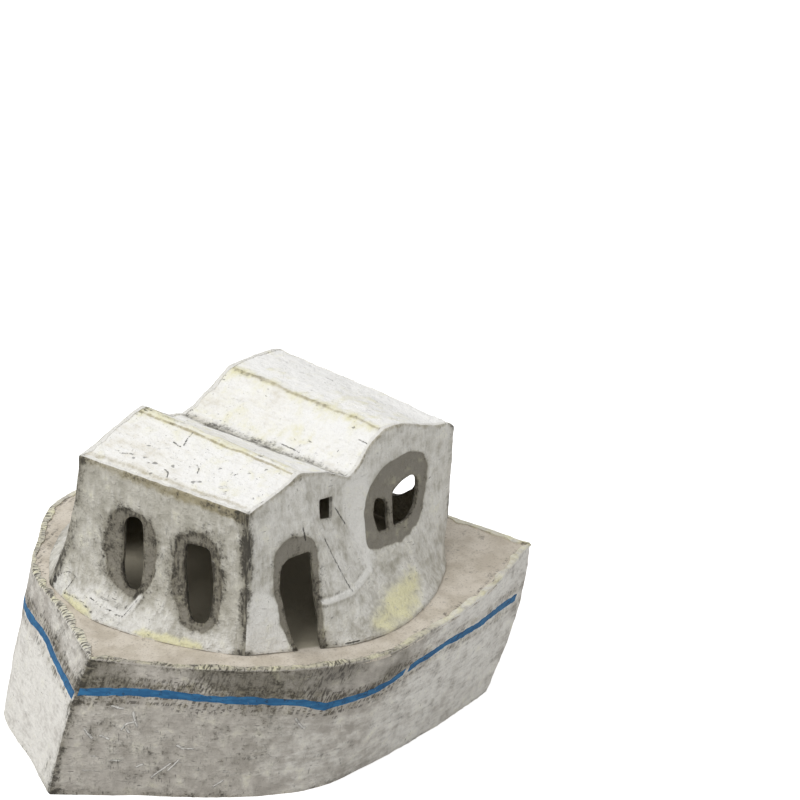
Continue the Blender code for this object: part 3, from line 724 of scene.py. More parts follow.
def hull_ring():
    """The whole outer face as one closed ring of columns: port to the stern, the transom, and starboard back."""
    share = np.linspace(0, 1, HULL_COLUMNS)
    rises = np.linspace(0.0, HULL_HEIGHT, HULL_ROWS)[:, None]
    rows = np.broadcast_to(rises, (HULL_ROWS, HULL_COLUMNS))
    port, starboard = side_point(PORT_STATIONS, share, rows), side_point(STARBOARD_STATIONS, share, rows)
    across = np.linspace(0, 1, TRANSOM_COLUMNS)[None, :, None]
    stern = port[:, -1:] + (starboard[:, -1:] - port[:, -1:]) * across
    ring = np.concatenate((port[:, :-1], stern[:, :-1], starboard[:, :0:-1]), axis=1)
    first = (0, HULL_COLUMNS - 1, HULL_COLUMNS + TRANSOM_COLUMNS - 2)
    top = ring[-1]
    inward = np.pad(inward_ways(top), ((0, 0), (0, 1)))
    reach = np.linspace(0, 1, CURL_ROWS + 1)[1:, None, None] * HULL_CURL
    half = len(top) // 2
    from_corners = (np.arange(len(top)) - np.array(first)[:, None] + half) % len(top) - half
    to_corner = np.abs(from_corners).min(axis=0)
    reach = reach * np.clip(to_corner / CORNER_COLUMNS, 0.2, 1.0)[None, :, None]
    reach = reach * (1.0 + CURL_RAGGED * lattice_noise(top, 0.007, 11))[None, :, None]
    ring = np.concatenate((ring, top[None] + inward[None] * reach))
    return ring, first


ring, ring_first = hull_ring()
foot_row = soften(ring[:1], *CORNER_REACH, True)
ring = soften(soften(ring, *CORNER_REACH, True), *EDGE_REACH, False)
ring[:1] = foot_row
ring_outer = papered(ring, HULL_ROWS - 1)
ring_outer[0, :, 2] = 0.0
hull_normals = ring_normals(ring_outer)
ring_inner = ring - hull_normals * CARD
print("hull ring", ring.shape, "cut at columns", ring_first)

# %% [markdown]
# The blue stripe follows a batten line on each side, so its height is needed first: the paint on the hull is
# darker over the stripe and the print shows beside it. Pale scratches cross the port bow.

# %% Stripe line and scratches
STRIPE_WIDTH = 0.0046
# Stripe marks: thousandths of the side's length, and millimetres above the foot.
PORT_STRIPE = np.array(metres(((0, 68.5), (90, 71.3), (150, 71.2), (220, 69.2), (300, 68), (390, 64.5),
    (436, 59.5), (476, 60.8), (522, 61.8), (600, 66.8), (705, 69.6), (838, 65.8), (969, 59.2))))
STARBOARD_STRIPE = np.array(metres(((0, 65), (100, 65.2), (175, 66.8), (230, 68.5), (300, 67), (400, 64),
    (1000, 60))))
PALE_SCRATCHES = metres((((22.6, 61.3), (29.4, 60.3)), ((36.1, 58.4), (37.8, 54.4), (41.2, 48.5)), ((32.8, 46.5),
    (34.4, 50.4), (37.8, 51.4)), ((35.3, 47.5), (37.8, 44.5)), ((11.6, 45.5), (14.2, 42.5), (17.5, 39.6)),
    ((21.8, 41.5), (24.3, 40.5), (27.7, 39.6)), ((68.3, 36.6), (72.6, 34.6), (78.6, 34.6)), ((59.8, 13.8),
    (64.1, 18.8), (68.3, 23.7)), ((68.3, 18.8), (72.6, 26.7)), ((131.8, 53.4), (136.1, 48.5), (140.4, 45.5)),
    ((48.8, 20.8), (52.2, 22.7)), ((99.8, 7.9), (104.1, 11.9))))
SCRATCH_WIDTH = 0.0011
DECK_EDGE = 0.088


def near(distance, reach):
    """1 at no distance and falling like a bell: e to the minus square of distance over reach."""
    return np.exp(-(distance / reach) ** 2)


def strokes(flat, trails, width):
    """Thin strokes: 1 near each trail, falling straight to 0 at just over the width."""
    total = np.zeros(flat.shape[:-1])
    for trail in trails:
        total = np.maximum(total, held(1.15 - trail_distance(flat, trail)[0] / width))
    return total


print("the stripe lies", PORT_STRIPE[:, 1].min(), "to", PORT_STRIPE[:, 1].max(), "m above the foot to port")

# %% [markdown]
# The bow panels, the stem, the foot, the stripe's margins and the deck's edge each get their own amounts of
# paint, print and dirt. The starboard bow panel is lighter and the port bow panel darker, partly in their paint
# and partly as painted light and shade, and the dark line at the stem is a painted shadow. Two sizes of random
# heights make them uneven, as handling did on the real boat.

# %% Hull amounts
def hull_amounts():
    """Amounts on the hull ring, from the share along each side, the height, and the distance from the stripe."""
    port = np.linspace(0, 1, HULL_COLUMNS)
    share = np.concatenate((port[:-1], np.ones(TRANSOM_COLUMNS - 1), port[:0:-1]))[None]
    side = np.concatenate((np.full(HULL_COLUMNS - 1, -1), np.zeros(TRANSOM_COLUMNS - 1),
                           np.ones(HULL_COLUMNS - 1)))[None]
    to_port, to_starboard, on_side = side < 0, side > 0, side != 0
    stripe = np.where(to_port, np.interp(share, *PORT_STRIPE.T), np.interp(share, *STARBOARD_STRIPE.T))
    over = np.arange(ring.shape[0]) - (HULL_ROWS - 1)
    height = ring[..., 2] + np.maximum(over, 0)[:, None] * HULL_CURL / CURL_ROWS
    along = walked(ring[0])[None] + np.zeros(height.shape)
    from_stem = np.minimum(along, along[0, -1] - along)
    from_stripe = height - stripe
    broad, finer = lattice_noise(ring, 0.035, 31), lattice_noise(ring, 0.012, 32)
    starboard_bow = to_starboard * held((0.36 - share) / 0.06)
    port_bow = to_port * held((0.42 - share) / 0.08)
    aft = held((share - 0.55) / 0.12)
    above = held(from_stripe / 0.003) * on_side
    port_above = above * to_port * (1 - aft)
    margin = near(abs(from_stripe) - 0.0055, 0.0036) * on_side
    edge = held((height - DECK_EDGE) / 0.0015)
    # More paint on the starboard bow panel and less on the port one: partly the paint's own tone, partly painted
    # light on the panel turned to the lamp and painted shade on the one turned away.
    paint = 0.26 + 0.38 * aft + 0.6 * starboard_bow - 0.2 * port_bow - 0.5 * port_above
    paint = paint - 0.5 * above * starboard_bow + 0.22 * broad + 0.1 * finer
    paint = paint - 0.3 * margin * (1 - 0.5 * starboard_bow) + 0.2 * edge
    printed = 0.34 + 0.66 * margin + 0.7 * edge + 0.3 * aft * (broad > 0) - 0.4 * starboard_bow * (1 - above)
    printed = printed + 0.25 * finer
    # The dark band along the stem is a painted shadow line; the rest is grime, darker towards the deck's edge and the
    # foot.
    grime_and_shade = 0.07 + 0.4 * near(from_stem, 0.005) + 0.2 * near(height - DECK_EDGE, 0.0012)
    grime_and_shade = grime_and_shade + 0.26 * near(height, 0.003) + 0.14 * port_above + 0.16 * port_bow + 0.2 * broad
    grime_and_shade = grime_and_shade + 0.24 * near(from_stem - 0.012, 0.01) * near(height - 0.02, 0.016) * to_starboard
    grime_and_shade = grime_and_shade + (0.16 * above - 0.04) * starboard_bow - 0.1 * aft
    grime_and_shade = grime_and_shade + (0.12 + 0.1 * to_starboard) * margin + 0.12 * finer
    grime_and_shade = np.where(edge > 0.5, 0.16 * finer, grime_and_shade)
    nicks = 0.38 + 0.3 * finer + 0.35 * port_bow
    bare = (0.66 + 0.5 * finer + 0.3 * broad) * port_above * (1 - edge)
    hatch = (0.58 + 0.45 * finer) * edge * (1 - 0.75 * aft) * on_side + 0.34 * above * starboard_bow
    hatch = hatch + (0.42 + 0.5 * finer) * margin * (1 - 0.6 * aft)
    hatch = hatch + (0.4 + 0.5 * finer) * port_above * (1 - edge)
    scratch = strokes(np.stack((along, height), axis=-1), PALE_SCRATCHES, SCRATCH_WIDTH)
    return {"along": along, "across": height, "paint": paint, "print": printed, "grime_and_shade": grime_and_shade, "nicks": nicks,
            "bare": bare, "scratch": scratch, "hatch": hatch, "yellow": 0.4 * edge,
            "tan": (0.18 + 0.14 * aft) * edge + 0.26 * margin}


hull_marks = hull_amounts()
print("hull amounts", {mark: values.mean().round(2) for mark, values in hull_marks.items()})

# %% [markdown]
# The ring is cut at the stem and at both corners of the stern, and each part becomes one papered card.

# %% Hull sheets
for name, node, start, stop in (("papered_port_side", "port_side", ring_first[0], ring_first[1]),
                                ("papered_transom", "transom", ring_first[1], ring_first[2]),
                                ("papered_starboard_side", "starboard_side", ring_first[2], ring.shape[1])):
    columns = np.arange(start, stop + 1) % ring.shape[1]
    marks = {mark: values[:, columns] for mark, values in hull_marks.items()}
    if node == "starboard_side":  # its last column is the stem, where the walked way begins at 0 again
        marks["along"][:, -1] = marks["along"][:, -2]
    sheet_piece(name, node, ring_outer[:, columns], ring_inner[:, columns], hull_normals[:, columns],
                marks, hull_paint)

# %% [markdown]
# The deck and the bottom are flat cards ruled across the boat, from the port line to the starboard line.

# %% Deck and bottom
PLATE_COLUMNS, PLATE_ROWS, PLATE_START = 200, 200, 0.012
DECK_DROP, DECK_INSET = 0.0008, 0.995
FOOT_GAP, BOTTOM_INSET = 0.0004, 0.98


def hull_plate(name, node, material, height, inset, up, house=None):
    """A level sheet ruled from port to starboard at a height, inside the hull by an inset of its distances.

    A house outline marks the floor under the cabin, which takes the dull inside colour as painted shade.
    """
    share = np.linspace(PLATE_START, 1, PLATE_COLUMNS)
    level = np.full(PLATE_COLUMNS, height)
    port, starboard = side_point(PORT_STATIONS, share, level), side_point(STARBOARD_STATIONS, share, level)
    middle = np.array((0.0, 0.0, height))
    port, starboard = middle + (port - middle) * inset, middle + (starboard - middle) * inset
    across = np.linspace(0, 1, PLATE_ROWS)[:, None, None]
    face = starboard[None] + (port - starboard)[None] * across
    face = face[:, ::-1] if up else face
    outward = np.zeros(face.shape)
    outward[..., 2] = 1.0 if up else -1.0
    outer = face + outward * paper_lie(face)[..., None]
    normals = grid_normals(outer)
    normals *= np.sign(normals[..., 2:3] * outward[..., 2:3])
    to_edge = np.minimum(across, 1 - across)[..., 0] * np.linalg.norm(port - starboard, axis=1)[None]
    to_edge = to_edge[:, ::-1] if up else to_edge
    broad = lattice_noise(face, 0.03, 33)
    marks = {"along": face[..., 0] + 0.3 * face[..., 1], "across": face[..., 1] - 0.3 * face[..., 0],
             "print": 0.1 + 0.75 * near(to_edge, 0.008) + 0.25 * broad,
             "grime_and_shade": -0.08 + 0.18 * broad + 0.2 * near(to_edge, 0.006), "paint": np.full(to_edge.shape, 0.45),
             "nicks": np.full(to_edge.shape, 0.4)}
    if house is not None:
        marks["indoors"] = held(-outline_distance(face[..., :2], house)[0] / 0.002 - 1.0)
    sheet_piece(name, node, outer, face - outward * CARD, normals, marks, material)


hull_plate("papered_bottom", "hull_bottom", hull_paint, FOOT_GAP, BOTTOM_INSET, False)

# %% [markdown]
# The blue stripe is a strip of painted paper. It is laid on the papered side, with slightly ragged edges.

# %% Stripes
STRIPE_LIFT, STRIPE_THICK = 0.0002, 0.0006
STRIPE_RAGGED = 0.22
STRIPE_COLUMNS, STRIPE_ROWS = 360, 8
for name, stations, middle_line, start, stop in (
        ("port_stripe_fore", PORT_STATIONS, PORT_STRIPE, 0.004, 0.594),
        ("port_stripe_aft", PORT_STATIONS, PORT_STRIPE, 0.606, 0.969),
        ("starboard_stripe", STARBOARD_STATIONS, STARBOARD_STRIPE, 0.008, 0.988)):
    share = np.linspace(start, stop, int(STRIPE_COLUMNS * (stop - start)) + 2)
    middle = np.interp(share, middle_line[:, 0], middle_line[:, 1])
    across = np.linspace(-0.5, 0.5, STRIPE_ROWS)[:, None]
    at_middle = side_point(stations, share, middle)
    ragged = STRIPE_WIDTH * (1.0 + STRIPE_RAGGED * lattice_noise(at_middle, 0.004, 21))
    face = side_point(stations, share, middle + across * ragged)
    if name == "starboard_stripe":
        face = face[:, ::-1]
    normals = grid_normals(face)
    outer = face + normals * (paper_lie(face) + STRIPE_LIFT)[..., None]
    sheet_piece("painted_" + name, name, outer, outer - normals * STRIPE_THICK, normals, {},
                stripe_paint)

# %% [markdown]
# The cabin's walls flare out where they meet the deck, because wet paper was pressed into that corner. A wall's
# outer face starts at its straight top line and moves out to the battened foot line by (1 - rise) to a power:
# a high power keeps the wall upright and bends only its foot.

# %% Roof and cabin lines
# Folds: x of the fold line at either eave, and its height above the deck.
PORT_FOLDS = np.array(metres(((-70, 97.5), (-39, 103.5), (-20, 109), (4, 100.5), (25, 89), (34, 94), (42, 104.5),
    (57, 111), (73, 109.8), (108, 95), (121, 93), (128, 86.5))))
STARBOARD_FOLDS = np.array(metres(((-88, 98.5), (-57, 105.5), (-26, 112.5), (-1, 96.5), (14, 91), (25, 92.8),
    (43, 100), (59, 109), (89, 106.5), (104.6, 104.2), (112, 101), (116, 96))))
VALLEY_FOLD = 4
# Corners: x and y at the roof, x and y at the foot in metres, and the power of the flare.
FRONT_PORT = np.array((-0.0685, -0.0815, -0.07, -0.082, 6.0))
FRONT_STARBOARD = np.array((-0.0865, 0.0475, -0.089, 0.07, 1.6))
AFT_PORT = np.array((0.1265, -0.083, 0.125, -0.08, 1.0))
AFT_STARBOARD = np.array((0.114, 0.057, 0.116, 0.072, 3.2))
PORT_FOOT = metres(((-41.6, -102), (-8.5, -122.5), (23, -128), (49, -124), (75, -115), (100, -101)))
STARBOARD_FOOT = metres(((-65, 93), (-35, 112), (5, 122), (45, 120), (85, 104)))
FRONT_FOOT = metres(((-98, 45), (-103.5, 18), (-101, -6), (-93.5, -33), (-83, -59)))
AFT_FOOT = metres(((128, -50), (130, -10), (125, 35)))
EAVE_OVERHANG = 0.0004


def roof_edge(x, front, aft, outward):
    """Y of the roof's edge over a side wall, at any x."""
    run = (x - front[0]) / (aft[0] - front[0])
    return front[1] + (aft[1] - front[1]) * run + outward * EAVE_OVERHANG


def roof_height(x, y):
    """Height of the roof above the deck: each fold line runs straight across, and the height is even between two."""
    low, high = roof_edge(x, FRONT_PORT, AFT_PORT, -1), roof_edge(x, FRONT_STARBOARD, AFT_STARBOARD, 1)
    share = ((y - low) / (high - low))[..., None]
    folds = PORT_FOLDS + (STARBOARD_FOLDS - PORT_FOLDS) * share[..., None]
    at, tall = folds[..., 0], folds[..., 1]
    i = np.clip((x[..., None] > at).sum(-1) - 1, 0, len(PORT_FOLDS) - 2)[..., None]
    x0, x1 = np.take_along_axis(at, i, -1)[..., 0], np.take_along_axis(at, i + 1, -1)[..., 0]
    z0, z1 = np.take_along_axis(tall, i, -1)[..., 0], np.take_along_axis(tall, i + 1, -1)[..., 0]
    return z0 + (z1 - z0) * held((x - x0) / (x1 - x0))


def wall_lines(start, between, stop, count):
    """A wall's top line and the foot point under each column, found along the wall's own direction."""
    share = np.linspace(0, 1, count)
    top = start[:2] + (stop[:2] - start[:2]) * share[:, None]
    dense = fair_line(np.concatenate((start[None, 2:4], between, stop[None, 2:4])), np.linspace(0, 1, 800))
    way = (stop[:2] - start[:2]) / np.linalg.norm(stop[:2] - start[:2])
    across = np.array((-way[1], way[0]))
    run, off = (dense - start[:2]) @ way, (dense - start[:2]) @ across
    wanted = run[0] + (run[-1] - run[0]) * share
    foot = start[:2] + np.outer(wanted, way) + np.outer(np.interp(wanted, run, off), across)
    return top, foot, share


print("roof above the deck over the door", roof_height(np.array([-0.035]), np.array([-0.08])).round(4), "m")

# %% [markdown]
# The four walls are drawn as one ring of columns, so that their paper runs on round the corners. Every wall has
# its own bend from the eave to the foot, and the top rows curl over on to the roof, as the pasted paper does.

# %% Cabin ring
WALLS = {"port": (FRONT_PORT, PORT_FOOT, AFT_PORT, 236, None),
         "aft": (AFT_PORT, AFT_FOOT, AFT_STARBOARD, 150, 4.0),
         "starboard": (AFT_STARBOARD, STARBOARD_FOOT[::-1], FRONT_STARBOARD, 210, 4.0),
         "front": (FRONT_STARBOARD, FRONT_FOOT, FRONT_PORT, 166, 6.0)}
WALL_ROWS = 118
WALL_CURL = 0.0042
FOOT_LIP, LIP_DEPTH = 0.0008, 0.0006
WALL_CORNER_REACH, EAVE_REACH, INWARD_REACH = (1.6, 1), (1.4, 0), 6.0


def cabin_ring():
    """All four walls as one closed ring of columns, with rows from the foot up and over the roof's edge."""
    tops, feet, flares, first = [], [], [], {}
    for name, (start, between, stop, count, flare) in WALLS.items():
        top, foot, share = wall_lines(start, np.array(between), stop, count)
        bend = np.interp(share, (0, 0.22, 0.78, 1), (start[4], flare or 1.0, flare or 1.0, stop[4]))
        if flare is None:
            bend = np.interp(top[:, 0], (-0.02, 0.04), (1.0, 2.6))
        first[name] = sum(len(t) for t in tops)
        tops.append(top[:-1])
        feet.append(foot[:-1])
        flares.append(bend[:-1])
    top, foot, bend = np.concatenate(tops), np.concatenate(feet), np.concatenate(flares)
    eave = roof_height(top[:, 0], top[:, 1])
    rise = np.linspace(0, 1, WALL_ROWS)[:, None]
    flat = top[None] + (foot - top)[None] * ((1 - rise) ** bend[None])[..., None]
    tall = HULL_HEIGHT + FOOT_LIP + (eave[None] - FOOT_LIP) * rise
    wall = np.concatenate((flat, tall[..., None]), axis=-1)
    inward = soften(inward_ways(top), INWARD_REACH, 0, True)
    reach = np.linspace(0, 1, CURL_ROWS + 1)[1:, None] * WALL_CURL
    reach = reach * (1.0 + CURL_RAGGED * lattice_noise(wall[-1], 0.006, 12))[None]
    over = top[None] + inward[None] * reach[..., None]
    over_height = HULL_HEIGHT + roof_height(over[..., 0], over[..., 1])
    ring = np.concatenate((wall, np.concatenate((over, over_height[..., None]), axis=-1)))
    lip = ring[:1].copy()
    lip[..., 2] = HULL_HEIGHT - LIP_DEPTH
    return np.concatenate((lip, ring)), first


cabin, cabin_first = cabin_ring()
foot_rows = cabin[:2].copy()
cabin = soften(soften(cabin, *WALL_CORNER_REACH, True), *EAVE_REACH, False)
cabin[:2] = soften(foot_rows, *WALL_CORNER_REACH, True)
cabin_outer = papered(cabin, WALL_ROWS)
cabin_outer[0, :, 2] = HULL_HEIGHT - DECK_DROP
cabin_normals = ring_normals(cabin_outer)
print("cabin ring", cabin.shape, cabin_first)

# %% [markdown]
# The deck runs on under the cabin as its floor, in the dull inside colour, painted shade of the unlit cabin. The
# ring's foot is the outline.

# %% Deck
hull_plate("papered_deck", "deck", deck_paper, HULL_HEIGHT - DECK_DROP, DECK_INSET, True,
           house=cabin[1, ::6, :2])

# %% [markdown]
# The windows are cut through the dry walls. Each outline is given along its wall and upwards from the deck, with
# the radius of its corners. The cells inside it are dropped, and the nearest points are pulled onto the outline,
# so that the cut is smooth.

# %% Windows and door
OPENINGS = metres({
    "front": ((((-4.7, 20.5), (6.2, 20.2), (11.8, 31), (12.7, 64), (6, 69.5), (-2, 68), (-3, 46)), 6),
        (((-55.5, 14), (-45, 13), (-38.5, 23), (-33.5, 46), (-34.5, 64), (-53, 64.5), (-55.6, 38)), 5)),
    # the door, the small square window, and the forward and aft panes of the double window
    "port": ((((-41.5, -5), (-31, -5), (-28.8, 15), (-24.3, 60.6), (-40, 58.5), (-45.2, 54), (-47, 39),
        (-45.5, 18)), 3), (((-9.4, 74.4), (4.4, 69.8), (8.6, 82.2), (-5.7, 85.6)), 1.5), (((43.5, 46.1),
        (52.6, 45.5), (57, 60.7), (53.7, 64), (49, 66.6), (46, 65.8), (42.4, 57.3)), 2.2), (((57.4, 45.3),
        (72.5, 44.7), (83.4, 48.2), (89.3, 57.8), (89.5, 65.8), (83.7, 69.4), (73.9, 69.1), (63, 65.8)), 2.2)),
    "starboard": ((((-62, 19), (-39, 19), (-31, 35), (-30, 58), (-60, 58)), 5),),
    "aft": ((((-56, 36), (-40, 22.8), (-10, 20), (-8, 62), (-54, 64)), 5),)})
# The places are measured along x on the port and starboard walls (axis 0), and along y on the others (axis 1).
ALONG_WALL = {"port": 0, "aft": 1, "starboard": 0, "front": 1}


def laid_flat(points, axis):
    """Places on a wall as on a flat drawing: along the wall, and up from the deck."""
    return np.stack((points[..., axis], points[..., 2] - HULL_HEIGHT), axis=-1)


def cut_windows(outer, normals, axis, openings):
    """A wall with its openings cut: points with the borders pulled onto the outlines, kept cells, and distances.

    A cell stays where the mean of its corners' distances from the outlines is more than 0. A pulled point slides
    on the wall's own face, so it moves sideways by minus its move along the normal over the normal's slope.
    """
    outer = outer.copy()
    distance = np.full(outer.shape[:2], 1.0)
    spot = np.zeros(outer.shape[:2] + (2,))
    flat = laid_flat(outer, axis)
    for corners, radius in openings:
        gap, close_spot = outline_distance(flat, rounded(corners, radius))
        closer = gap < distance
        distance = np.where(closer, gap, distance)
        spot = np.where(closer[..., None], close_spot, spot)
    middle = (distance[:-1, :-1] + distance[1:, :-1] + distance[:-1, 1:] + distance[1:, 1:]) / 4
    keep = middle > 0
    near_kept = np.zeros(distance.shape, bool)
    near_cut = np.zeros(distance.shape, bool)
    for rows, columns in itertools.product((slice(0, -1), slice(1, None)), repeat=2):
        near_kept[rows, columns] |= keep
        near_cut[rows, columns] |= ~keep
    border = near_kept & near_cut
    move = np.where(border[..., None], spot - flat, 0.0)
    other = 1 - axis
    slope = normals[..., other]
    slope = np.where(np.abs(slope) < 0.2, 1.0, slope)
    sideways = -(normals[..., axis] * move[..., 0] + normals[..., 2] * move[..., 1]) / slope
    outer[..., axis] += move[..., 0]
    outer[..., 2] += move[..., 1]
    outer[..., other] += sideways
    return outer, keep, np.where(border, 0.0, distance)


print("openings", {name: len(openings) for name, openings in OPENINGS.items()})

# %% [markdown]
# Round each window the paint was left off in a band, and painted shade darkens the cut edge and the wall just
# outside the band. The other marks of the walls are drawn as outlines and trails on the flat wall: yellow scraps,
# very white patches, raised folds with a painted highlight and a painted shadow beside them, and cracks drawn as
# painted shadow lines.

# %% Marks on the walls
BANDS = metres({
    "front": (((25.3, 53), (25.7, 32), (20.3, 20.6), (7.1, 17.2), (-3.3, 16.5), (-11.7, 23.9), (-13.4, 44.6),
        (-12, 61.7), (-6.5, 70.5), (8.7, 74.2), (21, 68.8)), ((-24.9, 55.2), (-24.8, 34.3), (-30.9, 19.8),
        (-39.1, 10), (-53.1, 8.1), (-61.4, 13.6), (-62, 32.3), (-61.8, 53.2), (-59.2, 67.9), (-45.6, 74.1),
        (-30.7, 68.5))),
    "port": (((-50.7, 51.6), (-48.5, 66.4), (-39.2, 71.7), (-27.5, 71.7), (-20.3, 66.7), (-20.5, 54.2),
        (-25.3, 29.9), (-26.1, 10.8), (-27, -3), (-44, -3), (-48.9, 14.4), (-51, 34.9)), ((30.3, 40.1),
        (38.5, 68.5), (44.8, 78.8), (57.1, 85.5), (71.7, 87), (86.4, 85.2), (96.7, 79.1), (99.5, 66.6),
        (94, 48.2), (82, 38.5), (61.3, 35.5), (39.9, 36.6))),
    "starboard": (((-70, 12), (-33, 12), (-22, 33), (-21, 66), (-68, 66)),),
    "aft": (((-64, 30), (-44, 15), (-3, 12), (-1, 70), (-62, 72)),)})
# Strength of the painted shade outside each band.
BAND_SHADE = {"front": (0.75, 0.95), "port": (0.8, 0.25), "starboard": (0.8,), "aft": (0.8,)}
YELLOWS = metres({
    "front": (((-10.4, 1), (-34.3, -1), (-59.7, -1), (-54.5, 4), (-28.2, 4.2)), ((52.5, -1), (18, -1),
        (23.5, 3.2), (51.1, 4))),
    "port": (((25, 13.3), (43.2, 15.7), (61.3, 15.9), (64, 11), (51.6, 4.8), (30.9, 1.4), (10.3, 0.3),
        (3.1, 4.2)),),
    "starboard": (((30, 0), (60, 0), (55, 12), (32, 14)),)})
WHITES = metres({
    "port": (((-70, 36.8), (-53, 33.8), (-48, 0.3), (-76, 0.3)), ((27, 30), (39.8, 55.1), (39.5, 89.1), (25, 85),
        (23, 45)))})
# Cracks and torn paper edges, drawn as painted shadow lines.
CRACKS = metres({
    "front": (((27.9, 8.4), (19, 7.2), (-0.6, 5.5), (-6.3, 17.9)), ((63, 7.5), (57.5, 12.5), (51.2, 16.1),
        (45, 15.1)), ((45, 15.1), (51.2, 2.4), (36.3, 4.6), (21, 2.4))),
    "port": (((-8.9, 62.1), (-4, 44), (0.8, 27.3)), ((9.1, 74.4), (16.3, 61.1)), ((-26.5, 76.1), (-26.1, 67.6)),
        ((-16.5, 0.6), (-7.8, 0.6))),
    "starboard": (((10, 70), (18, 35)),),
    "aft": (((20, 75), (26, 40)),)})
RAISED = metres({
    "port": ((-24.8, 28.1), (1.8, 26.9), (26.6, 29.7)),
    "front": ((27.9, 8.4), (19, 7.2), (-0.6, 5.5), (-6.3, 17.9))})
TORN_HOLE = (0.0635, 0.0056)
BAND_DEPTH, BAND_SOFT = 0.0005, 0.0014
CRACK_WIDTH = 0.0009
PATCH_RADIUS, PATCH_EDGE, YELLOW_EDGE = 0.006, 0.012, 0.004
RAISED_HEIGHT = 0.0008
STEP_HEIGHT = 0.001

print("marks on the walls", sum(len(marks) for table in (BANDS, YELLOWS, WHITES, CRACKS) for marks in table.values()))

# %% [markdown]
# Hands and time have left their dirt in the corners, and the walls are darker along the foot and at the eaves.
# Each wall's amounts start from those places, two sizes of random heights make them uneven, and the drawn marks
# are added.

# %% Amounts on the walls
CORNER_DIRT = {"front": (0.62, 0.86), "port": (0.8, 0.5), "aft": (0.55, 0.5), "starboard": (0.5, 0.6)}
WALL_PAINT = {"front": 0.14, "port": 0.5, "aft": 0.45, "starboard": 0.45}


def covered(flat, outlines, soft):
    """Share covered by closed outlines: 1 inside, 0 outside, rising over a soft border."""
    total = np.zeros(flat.shape[:-1])
    for outline in outlines:
        gap = outline_distance(flat, rounded(outline, PATCH_RADIUS))[0]
        total = np.maximum(total, held(0.5 - gap / soft))
    return total


def wall_amounts(name, points, flat, distance, along):
    """Amounts on a wall from its bands, patches and cracks, its corners, its foot and its roof edge."""
    front, height = float(name == "front"), flat[..., 1]
    jitter = np.stack((lattice_noise(points, 0.005, 41), lattice_noise(points, 0.005, 42)), axis=-1) * 0.0011
    ragged = flat + jitter
    broad, finer = lattice_noise(points, 0.03, 43), lattice_noise(points, 0.01, 44)
    band = covered(ragged, BANDS[name], BAND_SOFT)
    # Each band has a dark outline, and a painted shade falls off outside it.
    border = np.zeros(band.shape)
    for outline, dirt_and_shade in zip(BANDS[name], BAND_SHADE[name]):
        gap = outline_distance(ragged, rounded(outline, PATCH_RADIUS))[0]
        border = np.maximum(border, 0.5 * near(gap, 0.002) + dirt_and_shade * near(np.maximum(gap, 0), 0.0072))
    yellow = covered(ragged, YELLOWS.get(name, ()), YELLOW_EDGE if front else PATCH_EDGE)
    white = covered(ragged, WHITES.get(name, ()), PATCH_EDGE)
    crack_shadow = strokes(flat, CRACKS[name], CRACK_WIDTH)
    to_start, to_stop = along - along[:, :1], along[:, -1:] - along
    corner = CORNER_DIRT[name][0] * near(to_start, 0.005) + CORNER_DIRT[name][1] * near(to_stop, 0.0055)
    corner = corner * (0.85 + 0.55 * lattice_noise(points * np.array((1.0, 1.0, 0.4)), 0.006, 45))
    over = np.maximum(np.arange(band.shape[0]) - WALL_ROWS - 1, 0)[:, None]
    from_eave = points[..., 2] - points[WALL_ROWS, :, 2][None]
    eave = near(from_eave, 0.0022) * (over == 0)
    tape = front * (0.4 + 0.9 * to_start / along[:, -1:]) * near(from_eave + 0.0032, 0.0036) * (over == 0)
    grime_and_shade = 0.01 + 0.16 * broad + 0.1 * finer + corner + 0.2 * eave + 0.26 * near(height, 0.0022) + 0.3 * tape
    # Painted shade darkens the wall along the cut edge of each opening.
    grime_and_shade = grime_and_shade + 0.34 * border + 0.38 * near(distance, 0.0015) - 0.45 * white - 0.25 * yellow
    grime_and_shade = grime_and_shade + 0.08 * front * band - 0.3 * (over > 0) + 0.12 * front * held(height / 0.03)
    paint = WALL_PAINT[name]
    # Along a raised fold the paint is whiter, a painted highlight on its crest, and a thin painted shadow lies beside
    # it.
    if name in RAISED:
        fold = trail_distance(flat, RAISED[name])[0]
        paint = paint + 1.2 * near(fold, 0.0014)
        grime_and_shade = grime_and_shade + 0.3 * near(fold - 0.0028, 0.0012) - 0.3 * near(fold, 0.0012)
    # The torn hole on the front is painted dark, as shade inside the hole.
    if front:
        crack_shadow = 0.75 * np.maximum(crack_shadow, 2.2 * near(np.linalg.norm(flat - TORN_HOLE, axis=-1), 0.0022))
    paint = paint + 0.24 * broad + 0.12 * finer + 0.9 * white - 0.3 * yellow - 1.2 * band - 0.25 * corner
    paint = paint + 0.9 * (over > 0) + 0.8 * front * held(1 - height / 0.024)
    return {"along": along, "across": height + HULL_HEIGHT, "paint": paint, "bare": 1.1 * band, "yellow": yellow,
            "grime_and_shade": grime_and_shade, "crack_shadow": crack_shadow, "nicks": 0.35 + 0.3 * finer,
            "print": -0.1 + 0.3 * finer, "tan": 0.4 * eave + 0.8 * tape + 0.1 * broad}


print("dirt at the walls' ends", CORNER_DIRT)

# %% [markdown]
# A few marks can be felt with a finger: the bare bands lie a coat of paint and paper lower, two folds of paper
# stand up, and the cabin's aft block steps out a little to port.

